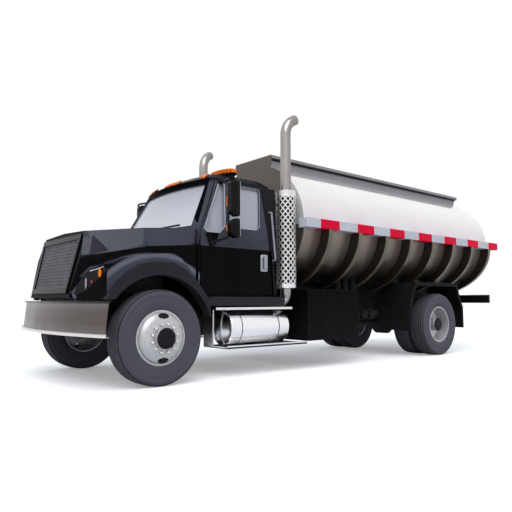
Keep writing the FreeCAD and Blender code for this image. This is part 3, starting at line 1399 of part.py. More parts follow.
for i, back in enumerate(lidPlaces(), start=1):
    lid = Part.makeCylinder(float(S.lidRadius), float(S.lidThick),
                            Vector(-back, 0, float(S.collarTop + S.seatGap)))
    knob = Part.makeCylinder(70, 22, Vector(-back, 0, float(S.collarTop + S.seatGap + S.lidThick) - 2))
    ear = Part.makeBox(float(S.lidHinge) + 20, 90, 16, Vector(-back - float(S.lidRadius + S.lidHinge), -45,
                                          float(S.collarTop + S.seatGap) + 5))
    obj = feature(f"manholeLid{i}", lid.fuse([knob, ear]))
    place(obj, axleX)
    piece(f"manhole_lid_{i}", obj)


# ---------------------------------------------------------------- rear end

def rearBeam():
    """Beam across the frame's end, with two stays to the rails."""
    back = S.beamRear
    return boxAt("rearBeam", (behind(back), behind(S.railRear) - S.seatGap),
                 (-1 * S.beamHalf, S.beamHalf), (S.beamLow, S.beamHigh))


piece("rear_bumper", rearBeam())


def ladder():
    """Ladder up the rear head to the trough."""
    y, half, tube = float(S.ladderY), float(S.ladderHalf), float(S.ladderTube)
    x = -float(S.tankRear + S.headBulge) - tube - 14
    low, top = 1120, 2980
    posts = [Part.makeCylinder(tube, top - low, Vector(x, -y + side * half, low)) for side in (-1, 1)]
    rungs = [Part.makeCylinder(tube * 0.8, 2 * half, Vector(x, -y - half, low + 160 + i * 280),
                               Vector(0, 1, 0)) for i in range(7)]
    feet = [Part.makeCylinder(tube * 0.8, 160, Vector(x, -y + side * half, z), Vector(1, 0, 0))
            for side in (-1, 1) for z in (1400, 2500)]
    shape = posts[0].fuse([posts[1]] + rungs)
    gap = float(S.seatGap)
    core = tankHead(gap).fuse(tankSolid(gap, S.tankHalfWidth, S.tankHalfHeight, S.tankCentre, 2000,
                                        S.tankRear + gap))
    return feature("ladder", biggest(shape.fuse([f.cut(core) for f in feet])))


rungs = ladder()
place(rungs, axleX)
piece("rear_ladder", rungs)


# (place, height) round a rear mud guard, from the foot of its front flap to that of its rear flap
GUARD_OUTLINE = [(-4520, 445), (-4520, 850), (-4600, 1100), (-4720, 1237), (-5990, 1237), (-6040, 1067),
                 (-6171, 800), (-6171, 445)]


def mudGuard():
    """Flat-topped guard over the twin wheels with a flap at each end, on arms from the rail."""
    near, far = float(S.guardInnerY), float(S.ribHalfWidth - S.guardInset)
    wall, rim = float(S.guardWall), float(S.guardRim)
    width = Vector(0, far - near, 0)
    wire = polygonWire([(x, near, z) for x, z in GUARD_OUTLINE])
    form = Part.Face(wire).extrude(width)

    def hollow(inset, start, end):
        deep = [(x, z if z > 500 else z - 200) for x, z in GUARD_OUTLINE]
        shrunk = polygonWire([(x, start, z) for x, z in deep]).makeOffset2D(-inset, 2, False, False)
        return Part.Face(shrunk).extrude(Vector(0, end - start, 0))

    shell = form.cut(hollow(wall, near - 5, far - wall)).cut(hollow(rim, near - 5, far + 5))
    rail = float(S.railOuterY + S.seatGap)
    arms = []
    for x, z in ((GUARD_OUTLINE[1][0] - 40, 960), (GUARD_OUTLINE[5][0] + 40, 960)):
        arms.append(Part.makeBox(60, far - rail - 20, 36, Vector(x - 30, rail, z)))
    arms = [arm.common(Part.Face(polygonWire([(x, rail - 5, z) for x, z in GUARD_OUTLINE]))
                       .extrude(Vector(0, far, 0))) for arm in arms]
    shell = shell.cut(tankSolid(6, S.ribHalfWidth, S.ribHalfHeight, S.ribCentre))
    return feature("mudGuard", biggest(shell.fuse(arms)))


guardsAll = pair("mudGuards", mudGuard())
place(guardsAll, axleX)
piece("mud_guards", guardsAll)


def valves():
    """Discharge pipe under each compartment, gathered to outlets at the side."""
    r = float(S.valveRadius)
    shapes = []
    for i in range(int(float(S.lidCount))):
        back = float(S.valveFirst + S.valvePitch * i)
        drop = Part.makeCylinder(r, 620, Vector(-back, 620, 700))
        outlet = Part.makeCylinder(r, 420, Vector(-back, 620, 720), Vector(0, 1, 0))
        collar = Part.makeCylinder(r + 18, 24, Vector(-back, 950, 720), Vector(0, 1, 0))
        shapes.append(drop.fuse([outlet, collar]))
    core = tankSolid(0.3, S.tankHalfWidth, S.tankHalfHeight, S.tankCentre)
    return feature("valves", Part.Compound([biggest(one.cut(core)) for one in shapes]))


outlets = valves()
place(outlets, axleX)
piece("discharge_valves", outlets)


# ---------------------------------------------------------------- check and write

doc.recompute()
broken = [obj.Label for obj in doc.Objects if {"Invalid", "Error"} & set(obj.State)]
broken += [obj.Label for obj in pieces if obj.Shape.isNull() or not obj.Shape.isValid()]
if broken:
    raise SystemExit("These failed: " + ", ".join(broken))

os.makedirs("parts", exist_ok=True)
for obj in pieces:
    obj.Shape.exportStep(f"parts/{obj.Label}.step")
    print(f"{obj.Label}: {len(obj.Shape.Solids)} solids, {obj.Shape.Volume / 1e9:.4f} m3")
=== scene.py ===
import json
import math

import bpy
from mathutils import Matrix, Vector

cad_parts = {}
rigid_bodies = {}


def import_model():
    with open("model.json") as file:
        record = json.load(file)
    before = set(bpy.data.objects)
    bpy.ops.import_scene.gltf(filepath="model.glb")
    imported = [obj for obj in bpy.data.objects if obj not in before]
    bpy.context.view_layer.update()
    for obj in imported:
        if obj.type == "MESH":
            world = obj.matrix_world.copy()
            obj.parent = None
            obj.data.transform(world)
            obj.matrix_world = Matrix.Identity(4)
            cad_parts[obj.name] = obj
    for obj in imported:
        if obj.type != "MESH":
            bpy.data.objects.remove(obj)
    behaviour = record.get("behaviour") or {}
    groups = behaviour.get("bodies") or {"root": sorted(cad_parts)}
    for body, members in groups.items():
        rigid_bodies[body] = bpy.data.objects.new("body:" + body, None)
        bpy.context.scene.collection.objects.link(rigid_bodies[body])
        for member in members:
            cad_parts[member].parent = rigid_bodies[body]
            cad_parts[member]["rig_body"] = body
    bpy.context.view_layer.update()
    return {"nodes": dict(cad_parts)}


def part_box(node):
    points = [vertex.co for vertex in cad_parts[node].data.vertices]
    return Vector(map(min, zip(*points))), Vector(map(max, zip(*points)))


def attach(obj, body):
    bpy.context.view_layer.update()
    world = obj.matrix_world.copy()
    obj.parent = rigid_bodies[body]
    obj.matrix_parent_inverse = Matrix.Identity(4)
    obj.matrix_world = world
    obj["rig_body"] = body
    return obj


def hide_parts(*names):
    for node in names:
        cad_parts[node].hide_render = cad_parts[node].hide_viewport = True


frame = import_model()
nodes = frame["nodes"]
bpy.ops.object.select_all(action="DESELECT")
print("frame loaded:", len(nodes), "nodes")


def middle(node):
    low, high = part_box(node)
    return (low + high) / 2


frontAxle = middle("front_tyre_left")
rearAxle = middle("rear_tyre_left")


def spot(back, across, height):
    # a place measured from the front axle, across the truck and up from the floor
    return Vector((frontAxle.x + back, across, height))


# camera
view = {"place": (6.309, 6.3343, 0.9270), "turn": -129.977, "rise": 4.7546, "lens": 37.87}
bpy.ops.object.camera_add(location=view["place"])
camera = bpy.context.object
camera.rotation_euler = (math.radians(90 + view["rise"]), 0, math.radians(view["turn"] - 90))
camera.data.lens = view["lens"]
camera.data.sensor_width = 36
camera.data.clip_end = 200
bpy.context.scene.camera = camera
bpy.context.scene.view_settings.view_transform = "Standard"
print("camera placed")


# shader building

def addNode(tree, kind, **values):
    node = tree.nodes.new(kind)
    for name, value in values.items():
        if hasattr(node, name):
            setattr(node, name, value)
        else:
            node.inputs[name.replace("_", " ")].default_value = value
    return node


def feed(tree, value, socket):
    # a socket is linked, a plain value is written in
    if isinstance(value, bpy.types.NodeSocket):
        tree.links.new(value, socket)
    else:
        socket.default_value = value


def compute(tree, operation, *values, clamp=False):
    node = addNode(tree, "ShaderNodeMath", operation=operation, use_clamp=clamp)
    for value, socket in zip(values, node.inputs):
        feed(tree, value, socket)
    return node.outputs["Value"]


def computeVector(tree, operation, *values):
    node = addNode(tree, "ShaderNodeVectorMath", operation=operation)
    for value, socket in zip(values, node.inputs):
        feed(tree, value, socket)
    return node.outputs["Value" if operation in ("LENGTH", "DISTANCE") else "Vector"]


def product(tree, first, *others):
    for other in others:
        first = compute(tree, "MULTIPLY", first, other)
    return first


def remap(tree, value, low, high, start=0.0, end=1.0):
    # low to high becomes start to end, held at both ends
    node = addNode(tree, "ShaderNodeMapRange", clamp=True)
    numbers = {"Value": value, "From Min": low, "From Max": high, "To Min": start, "To Max": end}
    for label, number in numbers.items():
        feed(tree, number, node.inputs[label])
    return node.outputs["Result"]


def between(tree, value, low, high, soft=0.004):
    # 1 where value lies between low and high
    return product(tree, remap(tree, value, low - soft, low), remap(tree, value, high + soft, high))


def axes(tree, source):
    # the three parts of a place or a normal
    split = addNode(tree, "ShaderNodeSeparateXYZ")
    feed(tree, source, split.inputs["Vector"])
    return split.outputs


def coordinates(tree):
    return addNode(tree, "ShaderNodeTexCoord").outputs


def reach(tree, centre):
    # distance in the side view from a point
    flat = computeVector(tree, "MULTIPLY", coordinates(tree)["Object"], (1.0, 0.0, 1.0))
    return computeVector(tree, "DISTANCE", flat, (centre.x, 0.0, centre.z))


def mixColour(tree, mask, first, second, blend="MIX"):
    node = addNode(tree, "ShaderNodeMix", data_type="RGBA", blend_type=blend)
    feed(tree, mask, node.inputs[0])
    for index, value in ((6, first), (7, second)):
        feed(tree, (*value[:3], 1.0) if isinstance(value, tuple) else value, node.inputs[index])
    return node.outputs[2]


def mixNumber(tree, mask, first, second):
    node = addNode(tree, "ShaderNodeMix")
    for index, value in enumerate((mask, None, first, second)):
        if value is not None:
            feed(tree, value, node.inputs[index])
    return node.outputs[0]


def heightBands(tree, stops):
    # colour that changes smoothly with height: (height, colour) from low to high
    height = axes(tree, coordinates(tree)["Object"])["Z"]
    colour = stops[0][1]
    for (low, _), (high, after) in zip(stops, stops[1:]):
        colour = mixColour(tree, remap(tree, height, low, high), colour, after)
    return colour


def noiseOn(tree, place, scale, **values):
    noise = addNode(tree, "ShaderNodeTexNoise", **values)
    feed(tree, place, noise.inputs["Vector"])
    feed(tree, scale, noise.inputs["Scale"])
    return noise


def relief(tree, height, strength, depth):
    bump = addNode(tree, "ShaderNodeBump")
    for label, value in (("Height", height), ("Strength", strength), ("Distance", depth)):
        feed(tree, value, bump.inputs[label])
    return bump.outputs["Normal"]


# effects shared by the finishes
def startGroup(name, inputs, outputs):
    tree = bpy.data.node_groups.new(name, "ShaderNodeTree")
    for label, value in inputs.items():
        kind = "NodeSocketVector" if isinstance(value, tuple) else "NodeSocketFloat"
        socket = tree.interface.new_socket(label, in_out="INPUT", socket_type=kind)
        socket.default_value = value
    for label, kind in outputs.items():
        tree.interface.new_socket(label, in_out="OUTPUT", socket_type=kind)
    return tree, tree.nodes.new("NodeGroupInput").outputs, tree.nodes.new("NodeGroupOutput").inputs


reliefOutputs = {"Normal": "NodeSocketVector", "Mask": "NodeSocketFloat"}


def buildMottle():
    # soft cloudy patches: a mask for colour and roughness
    tree, start, end = startGroup("mottle", {"Scale": 4.0, "Detail": 5.0, "Low": 0.35, "High": 0.65},
                                  {"Mask": "NodeSocketFloat"})
    noise = noiseOn(tree, coordinates(tree)["Object"], start["Scale"], Roughness=0.6)
    feed(tree, start["Detail"], noise.inputs["Detail"])
    feed(tree, remap(tree, noise.outputs["Fac"], start["Low"], start["High"]), end["Mask"])
    return tree


def buildGrain():
    # fine even relief of paint, rubber or cast metal
    tree, start, end = startGroup("grain", {"Scale": 300.0, "Strength": 0.1, "Depth": 0.001}, reliefOutputs)
    place = coordinates(tree)["Object"]
    noise = noiseOn(tree, place, start["Scale"], Detail=3.0, Roughness=0.55).outputs["Fac"]
    feed(tree, relief(tree, noise, start["Strength"], start["Depth"]), end["Normal"])
    feed(tree, noise, end["Mask"])
    return tree


def buildBrushed():
    # long fine scratches: noise drawn out along one direction
    tree, start, end = startGroup("brushed", {"Stretch": (1.0, 1.0, 60.0), "Scale": 8.0, "Strength": 0.08},
                                  reliefOutputs)
    drawn = computeVector(tree, "MULTIPLY", coordinates(tree)["Object"], start["Stretch"])
    noise = noiseOn(tree, drawn, start["Scale"], Detail=4.0, Roughness=0.7).outputs["Fac"]
    feed(tree, relief(tree, noise, start["Strength"], 0.0006), end["Normal"])
    feed(tree, noise, end["Mask"])
    return tree


def buildRoadDust():
    # road film: heavy near the floor, broken up by noise, gone above a height
    tree, start, end = startGroup("roadDust", {"Top": 1.2, "Amount": 0.4, "Scale": 6.0},
                                  {"Mask": "NodeSocketFloat"})
    place = coordinates(tree)["Object"]
    fade = remap(tree, axes(tree, place)["Z"], 0.1, start["Top"], 1.0, 0.0)
    noise = noiseOn(tree, place, start["Scale"], Detail=6.0, Roughness=0.65).outputs["Fac"]
    patch = product(tree, fade, noise)
    feed(tree, compute(tree, "MULTIPLY", patch, start["Amount"], clamp=True), end["Mask"])
    return tree


groups = {"mottle": buildMottle(), "grain": buildGrain(), "brushed": buildBrushed(),
          "roadDust": buildRoadDust()}


def useGroup(tree, name, **values):
    node = tree.nodes.new("ShaderNodeGroup")
    node.node_tree = groups[name]
    for label, value in values.items():
        node.inputs[label].default_value = value
    return node.outputs


# finishes
def startFinish(name):
    finish = bpy.data.materials.new(name)
    finish.use_nodes = True
    return finish, finish.node_tree, finish.node_tree.nodes["Principled BSDF"].inputs


def makeFinish(name, look):
    # one painted, bare or moulded surface, from its dictionary of values
    finish, tree, sockets = startFinish(name)
    for label in ("Metallic", "Coat Weight", "Coat Roughness", "Coat IOR", "IOR", "Specular IOR Level"):
        if label in look:
            sockets[label].default_value = look[label]
    patches = useGroup(tree, "mottle", Scale=look.get("patch", 3.0), Detail=5.0)["Mask"]
    colour = mixColour(tree, patches, look["colour"], look.get("second", look["colour"]))
    rough = remap(tree, patches, 0.0, 1.0, *look["rough"])
    if "brush" in look:
        surface = useGroup(tree, "brushed", Stretch=look["brush"], Scale=look.get("scale", 8.0),
                           Strength=look.get("relief", 0.08))
        tint = mixColour(tree, surface["Mask"], tuple(0.88 * c for c in look["colour"]),
                         tuple(min(1.0, 1.08 * c) for c in look["colour"]))
        colour = mixColour(tree, 0.5, colour, tint)
    else:
        surface = useGroup(tree, "grain", Scale=look.get("scale", 300.0), Strength=look.get("relief", 0.06),
                           Depth=look.get("depth", 0.001))
    if look.get("dust"):
        film = useGroup(tree, "roadDust", Top=look["dust"][0], Amount=look["dust"][1])["Mask"]
        colour = mixColour(tree, film, colour, look.get("dustColour", (0.30, 0.27, 0.24)))
        rough = compute(tree, "ADD", rough, remap(tree, film, 0.0, 1.0, 0.0, 0.5), clamp=True)
    feed(tree, colour, sockets["Base Color"])
    feed(tree, rough, sockets["Roughness"])
    feed(tree, surface["Normal"], sockets["Normal"])
    return finish


def openFinish(name, look):
    # a finish whose colour is still to be changed, with its sockets and its plain colour
    finish = makeFinish(name, look)
    sockets = finish.node_tree.nodes["Principled BSDF"].inputs
    return finish, finish.node_tree, sockets, sockets["Base Color"].links[0].from_socket


def makeGlass(name, look):
    finish, tree, sockets = startFinish(name)
    sockets["Transmission Weight"].default_value = look["transmission"]
    sockets["IOR"].default_value = 1.45
    film = useGroup(tree, "mottle", Scale=look.get("patch", 2.0), Detail=4.0)["Mask"]
    feed(tree, mixColour(tree, film, look["colour"], look["second"]), sockets["Base Color"])
    feed(tree, remap(tree, film, 0.0, 1.0, 0.0, look.get("film", 0.03)), sockets["Roughness"])
    return finish


finishValues = {
    "bodyBlack": {"colour": (0.0025, 0.0025, 0.0035), "second": (0.004, 0.004, 0.0055), "rough": (0.12, 0.2),
                  "IOR": 1.03, "Coat IOR": 1.35, "Coat Roughness": 0.04, "scale": 420.0, "relief": 0.02,
                  "dust": (1.1, 0.05)},
    "sealBlack": {"colour": (0.004, 0.004, 0.0045), "second": (0.007, 0.007, 0.0075), "rough": (0.45, 0.6),
                  "IOR": 1.25, "scale": 500.0, "relief": 0.10},
    "darkTrim": {"colour": (0.018, 0.018, 0.024), "second": (0.024, 0.024, 0.031), "rough": (0.42, 0.55),
                 "IOR": 1.2, "scale": 380.0, "relief": 0.12, "dust": (1.4, 0.10)},
    "chassisBlack": {"colour": (0.003, 0.003, 0.003), "second": (0.006, 0.0055, 0.005), "rough": (0.5, 0.75),
                     "IOR": 1.2, "scale": 160.0, "relief": 0.15, "dust": (1.2, 0.06)},
    "castIron": {"colour": (0.020, 0.018, 0.017), "second": (0.034, 0.030, 0.027), "rough": (0.55, 0.8),
                 "scale": 120.0, "relief": 0.3, "dust": (1.0, 0.4)},
    "stainless": {"colour": (0.46, 0.43, 0.42), "second": (0.52, 0.49, 0.48), "rough": (0.24, 0.34),
                  "Metallic": 1.0, "brush": (2.0, 1.0, 70.0), "scale": 6.0, "relief": 0.05,
                  "dust": (0.9, 0.15)},
    "chrome": {"colour": (0.78, 0.78, 0.80), "second": (0.72, 0.72, 0.74), "rough": (0.06, 0.13),
               "Metallic": 1.0, "scale": 200.0, "relief": 0.02},
    "brightEdge": {"colour": (0.80, 0.79, 0.80), "second": (0.70, 0.69, 0.70), "rough": (0.16, 0.25),
                   "Metallic": 1.0, "scale": 260.0, "relief": 0.03, "dust": (0.6, 0.2)},
    "meshSteel": {"colour": (0.135, 0.125, 0.145), "second": (0.105, 0.095, 0.11), "rough": (0.5, 0.65),
                  "IOR": 1.25, "scale": 300.0, "relief": 0.05},
    "wheelSilver": {"colour": (0.50, 0.50, 0.51), "second": (0.58, 0.58, 0.59), "rough": (0.34, 0.5),
                    "Metallic": 0.55, "scale": 220.0, "relief": 0.10, "patch": 9.0},
    "hubCap": {"colour": (0.008, 0.008, 0.009), "second": (0.012, 0.012, 0.014), "rough": (0.4, 0.55),
               "IOR": 1.2, "scale": 260.0, "relief": 0.1},
    "tyreRubber": {"colour": (0.062, 0.062, 0.080), "second": (0.078, 0.078, 0.096), "rough": (0.72, 0.88),
                   "scale": 180.0, "relief": 0.18, "depth": 0.0015, "patch": 5.0, "dust": (1.1, 0.25),
                   "dustColour": (0.11, 0.11, 0.125)},
    "flapRubber": {"colour": (0.004, 0.004, 0.004), "second": (0.008, 0.008, 0.008), "rough": (0.6, 0.8),
                   "IOR": 1.2, "scale": 160.0, "relief": 0.18, "dust": (1.0, 0.06)},
    "polished": {"colour": (0.93, 0.925, 0.94), "second": (0.89, 0.885, 0.90), "rough": (0.10, 0.18),
                 "Metallic": 0.45, "brush": (60.0, 1.0, 1.0), "scale": 4.0, "relief": 0.025},
    "fuelPolish": {"colour": (0.88, 0.88, 0.90), "second": (0.82, 0.82, 0.84), "rough": (0.16, 0.24),
                   "Metallic": 1.0, "brush": (60.0, 1.0, 1.0), "scale": 5.0, "relief": 0.04},
    "plateGrey": {"colour": (0.115, 0.095, 0.080), "second": (0.15, 0.125, 0.11), "rough": (0.35, 0.5),
                  "Metallic": 0.3, "scale": 90.0, "relief": 0.08, "patch": 1.5},
    "troughGrey": {"colour": (0.21, 0.20, 0.22), "second": (0.27, 0.26, 0.28), "rough": (0.35, 0.5),
                   "Metallic": 0.6, "scale": 120.0, "relief": 0.08},
    "amberLens": {"colour": (1.0, 0.26, 0.010), "second": (0.95, 0.20, 0.008), "rough": (0.3, 0.4),
                  "IOR": 1.2, "scale": 180.0, "relief": 0.05},
    "redLens": {"colour": (0.55, 0.012, 0.010), "second": (0.45, 0.010, 0.008), "rough": (0.12, 0.2),
                "Coat Weight": 0.8, "scale": 180.0, "relief": 0.05},
    "cabInside": {"colour": (0.10, 0.095, 0.09), "second": (0.13, 0.125, 0.12), "rough": (0.6, 0.75),
                  "scale": 260.0, "relief": 0.25},
    "seatCloth": {"colour": (0.030, 0.030, 0.033), "second": (0.045, 0.045, 0.05), "rough": (0.85, 0.95),
                  "scale": 420.0, "relief": 0.5, "patch": 30.0},
    "paleTrim": {"colour": (0.50, 0.52, 0.56), "second": (0.44, 0.46, 0.50), "rough": (0.3, 0.42),
                 "scale": 260.0, "relief": 0.04},
    "lampDark": {"colour": (0.002, 0.002, 0.002), "second": (0.004, 0.004, 0.004), "rough": (0.05, 0.09),
                 "IOR": 1.25, "scale": 200.0, "relief": 0.01},
    "pocketGrey": {"colour": (0.22, 0.22, 0.25), "second": (0.18, 0.18, 0.21), "rough": (0.4, 0.5),
                   "scale": 260.0, "relief": 0.04},
    "railGrey": {"colour": (0.34, 0.35, 0.39), "second": (0.28, 0.29, 0.32), "rough": (0.35, 0.45),
                 "scale": 260.0, "relief": 0.04},
    "shellBlack": {"colour": (0.004, 0.004, 0.0045), "second": (0.007, 0.007, 0.0075), "rough": (0.14, 0.22),
                   "IOR": 1.2, "scale": 300.0, "relief": 0.04},
    "panelBlack": {"colour": (0.004, 0.004, 0.005), "second": (0.018, 0.018, 0.022), "rough": (0.35, 0.5),
                   "IOR": 1.2, "scale": 90.0, "relief": 0.5, "patch": 60.0},
    "shieldBright": {"colour": (0.78, 0.77, 0.77), "second": (0.68, 0.67, 0.68), "rough": (0.24, 0.36),
                     "Metallic": 0.85, "scale": 260.0, "relief": 0.03},
    "mirrorGlass": {"colour": (0.80, 0.82, 0.84), "second": (0.76, 0.78, 0.80), "rough": (0.02, 0.05),
                    "Metallic": 1.0, "scale": 60.0, "relief": 0.01},
}
finishes = {name: makeFinish(name, look) for name, look in finishValues.items()
            if name not in ("bodyBlack", "tyreRubber", "troughGrey", "plateGrey")}
windowLook = {"colour": (0.62, 0.64, 0.73), "second": (0.54, 0.56, 0.64), "transmission": 0.30, "patch": 0.9,
              "film": 0.06}
screenLook = {"colour": (0.8, 0.8, 0.8), "second": (0.7, 0.7, 0.7), "transmission": 0.30}
finishes["windowGlass"] = makeGlass("windowGlass", windowLook)


tapeValues = {"start": -2.431, "pitch": 0.7884, "share": 0.495, "red": (0.86, 0.006, 0.045),
              "look": {"colour": (0.66, 0.68, 0.74), "second": (0.60, 0.63, 0.69), "rough": (0.32, 0.45),
                       "IOR": 1.12, "scale": 240.0, "relief": 0.04}}


def makeRailFinish():
    # red and white reflective tape in even lengths along the rail
    v = tapeValues
    finish, tree, sockets, plain = openFinish("railTape", v["look"])
    along = compute(tree, "SUBTRACT", frontAxle.x + v["start"], axes(tree, coordinates(tree)["Object"])["X"])
    turn = compute(tree, "FRACT", compute(tree, "DIVIDE", along, v["pitch"]))
    red = product(tree, compute(tree, "LESS_THAN", turn, v["share"]),
                  compute(tree, "GREATER_THAN", along, 0.0))
    feed(tree, mixColour(tree, red, plain, v["red"]), sockets["Base Color"])
    return finish


# the side colour is painted shade on the rib faces that look along the truck
ribValues = {"look": {"colour": (0.13, 0.12, 0.075), "second": (0.17, 0.155, 0.10), "rough": (0.3, 0.45),
                      "Metallic": 0.4, "scale": 120.0, "relief": 0.06},
             "facing": 0.8, "side": (0.030, 0.022, 0.018)}


def makeRibFinish():
    # metal band with painted shade: a darker colour on the faces that look along the truck
    v = ribValues
    finish, tree, sockets, plain = openFinish("ribMetal", v["look"])
    facing = axes(tree, addNode(tree, "ShaderNodeNewGeometry").outputs["True Normal"])["X"]
    side = compute(tree, "GREATER_THAN", compute(tree, "ABSOLUTE", facing), v["facing"])
    # painted shade on the faces that look along the truck
    feed(tree, mixColour(tree, side, plain, v["side"]), sockets["Base Color"])
    return finish


# heights and reaches in metres, normals from -1 to 1
# the grey-blue colour is a painted sky reflection on faces that look up, above the belt and round the wheel
# arch; the rolled edge colour is a painted highlight line
paintValues = {"paintedSheen": (0.066, 0.068, 0.094), "upward": (0.02, 0.12), "nose": (0.80, 0.95),
               "roof": (2.42, 2.47, 0.12), "belt": (1.583, 1.592), "outward": 0.80, "cabBack": 0.595,
               "crown": (0.60, 0.925), "rolled": (0.895, 0.922, 0.03), "rolledHighlight": (0.15, 0.16, 0.20),
               "sealLean": 0.265, "sealAcross": 1.436, "sealHeights": (1.835, 2.50), "sealFacing": 0.5,
               "sealColour": (0.003, 0.003, 0.004), "coat": (0.12, 0.5), "sealCoat": 0.05,
               "cloud": {"Scale": 1.1, "Detail": 2.0, "Low": 0.3, "High": 0.7}, "cloudLow": 0.65}


def makePaintFinish():
    # deep black paint with a painted sky reflection: surfaces that face up carry a full clear coat and a
    # painted grey-blue sheen, upright ones little
    v = paintValues
    finish, tree, sockets, plain = openFinish("bodyBlack", finishValues["bodyBlack"])
    where = coordinates(tree)
    normal = axes(tree, where["Normal"])
    place = axes(tree, where["Object"])
    upward = remap(tree, normal["Z"], *v["upward"])
    # the upright nose and the level roof stay dark
    front = remap(tree, normal["X"], *v["nose"], 1.0, 0.0)
    roof = remap(tree, place["Z"], v["roof"][0], v["roof"][1], 1.0, v["roof"][2])
    # on the cab's sides the crease at the belt parts the painted sheen above from the plain black below
    belt = remap(tree, place["Z"], *v["belt"])
    outward = compute(tree, "GREATER_THAN", compute(tree, "ABSOLUTE", normal["Y"]), v["outward"])
    cab = compute(tree, "LESS_THAN", place["X"], frontAxle.x - v["cabBack"])
    sheenShare = mixNumber(tree, product(tree, outward, cab), product(tree, upward, front), belt)
    # the fender's side round the wheel arch gets the painted sheen too, and its rolled edge a painted
    # highlight line
    away = reach(tree, frontAxle)
    onHood = product(tree, outward, compute(tree, "SUBTRACT", 1.0, cab))
    crown = product(tree, between(tree, away, *v["crown"]), onHood)
    lit = product(tree, compute(tree, "MAXIMUM", sheenShare, crown), roof)
    cloud = useGroup(tree, "mottle", **v["cloud"])["Mask"]
    uneven = product(tree, lit, remap(tree, cloud, 0.0, 1.0, v["cloudLow"], 1.0))
    # painted sky reflection laid over the black paint
    painted = mixColour(tree, uneven, plain, v["paintedSheen"])
    # painted highlight line along the fender's rolled edge
    rolled = product(tree, between(tree, away, *v["rolled"]), onHood)
    painted = mixColour(tree, rolled, painted, v["rolledHighlight"])
    # black seal on the cab's front, over and beside the windscreen
    lean = compute(tree, "MULTIPLY_ADD", place["Z"], v["sealLean"], compute(tree, "ABSOLUTE", place["Y"]))
    seal = product(tree, between(tree, lean, 0.0, v["sealAcross"], 0.003),
                   between(tree, place["Z"], *v["sealHeights"]),
                   compute(tree, "GREATER_THAN", normal["X"], v["sealFacing"]), cab)
    feed(tree, mixColour(tree, seal, painted, v["sealColour"]), sockets["Base Color"])
    coat = product(tree, remap(tree, lit, 0.0, 1.0, *v["coat"]), roof,
                   remap(tree, seal, 0.0, 1.0, 1.0, v["sealCoat"]))
    feed(tree, coat, sockets["Coat Weight"])
    return finish


# the shade and inside colours are painted shade
pipeValues = {"look": {"colour": (0.34, 0.315, 0.31), "second": (0.42, 0.39, 0.38), "rough": (0.22, 0.34),
                       "Metallic": 1.0, "brush": (1.0, 1.0, 40.0), "scale": 6.0, "relief": 0.04},
              "turned": (-0.85, 0.35), "shade": (0.16, 0.14, 0.14), "shield": (1.12, 2.40),
              "inside": (0.060, 0.048, 0.042)}


def makePipeFinish():
    # satin steel pipe with painted shade: darker on the faces that look towards the rear, and dark where it
    # stands inside its shield
    v = pipeValues
    finish, tree, sockets, plain = openFinish("pipeSteel", v["look"])
    where = coordinates(tree)
    # painted shade on the faces that look towards the rear
    steel = mixColour(tree, remap(tree, axes(tree, where["Normal"])["X"], *v["turned"]), v["shade"], plain)
    height = axes(tree, where["Object"])["Z"]
    # painted shade inside the shield
    inside = product(tree, compute(tree, "GREATER_THAN", height, v["shield"][0]),
                     compute(tree, "LESS_THAN", height, v["shield"][1]))
    feed(tree, mixColour(tree, inside, steel, v["inside"]), sockets["Base Color"])
    return finish


# film and foot are painted shade under the rail, darker towards the bottom
tankFinishValues = {"below": (1.99, 1.95), "deep": (1.9, 1.32), "film": (0.34, 0.275, 0.225),
                    "foot": (0.014, 0.012, 0.009), "lowerRough": 0.34,
                    # the sheen bands are a painted highlight and reflection by height on the polished part
                    "sheen": [(2.05, (0.82, 0.81, 0.85)), (2.28, (0.92, 0.88, 0.87)),
                              (2.60, (1.0, 0.98, 0.94)), (2.78, (0.98, 0.94, 0.90)),
                              (2.90, (0.68, 0.66, 0.66))]}


def makeTankFinish():
    # polished above the rail with painted highlight bands by height; under it dull, with painted shade that
    # darkens towards the bottom
    v = tankFinishValues
    finish, tree, sockets, plain = openFinish("tankSkin", finishValues["polished"])
    rough = sockets["Roughness"].links[0].from_socket
    height = axes(tree, coordinates(tree)["Object"])["Z"]
    below = remap(tree, height, *v["below"])
    # painted shade under the rail: brown near the rail, near black at the foot
    dull = mixColour(tree, remap(tree, height, *v["deep"]), v["film"], v["foot"])
    # painted highlight and reflection bands by height
    upper = mixColour(tree, 1.0, plain, heightBands(tree, v["sheen"]), "MULTIPLY")
    feed(tree, mixColour(tree, below, upper, dull), sockets["Base Color"])
    feed(tree, mixNumber(tree, below, rough, v["lowerRough"]), sockets["Roughness"])
    return finish


# the dark band from 3.032 to 3.056 m is painted shade under the rim
troughBands = [(2.87, (0.44, 0.43, 0.47)), (2.93, (0.27, 0.26, 0.285)), (3.020, (0.22, 0.21, 0.23)),
               (3.032, (0.030, 0.022, 0.018)), (3.056, (0.030, 0.022, 0.018)), (3.066, (0.27, 0.26, 0.285))]


def makeTroughFinish():
    # grey sheet with painted shade as a dark band under its rim, and a pale lower lip
    finish, tree, sockets = openFinish("troughGrey", finishValues["troughGrey"])[:3]
    feed(tree, heightBands(tree, troughBands), sockets["Base Color"])
    return finish


plateRim = {"centre": (0.0, 0.0, 2.0), "shape": (0.0, 1 / 1.1, 1.0), "start": 0.87, "across": 0.80,
            "colour": (0.86, 0.83, 0.82), "ends": (2.0, 4.0, 2.0)}


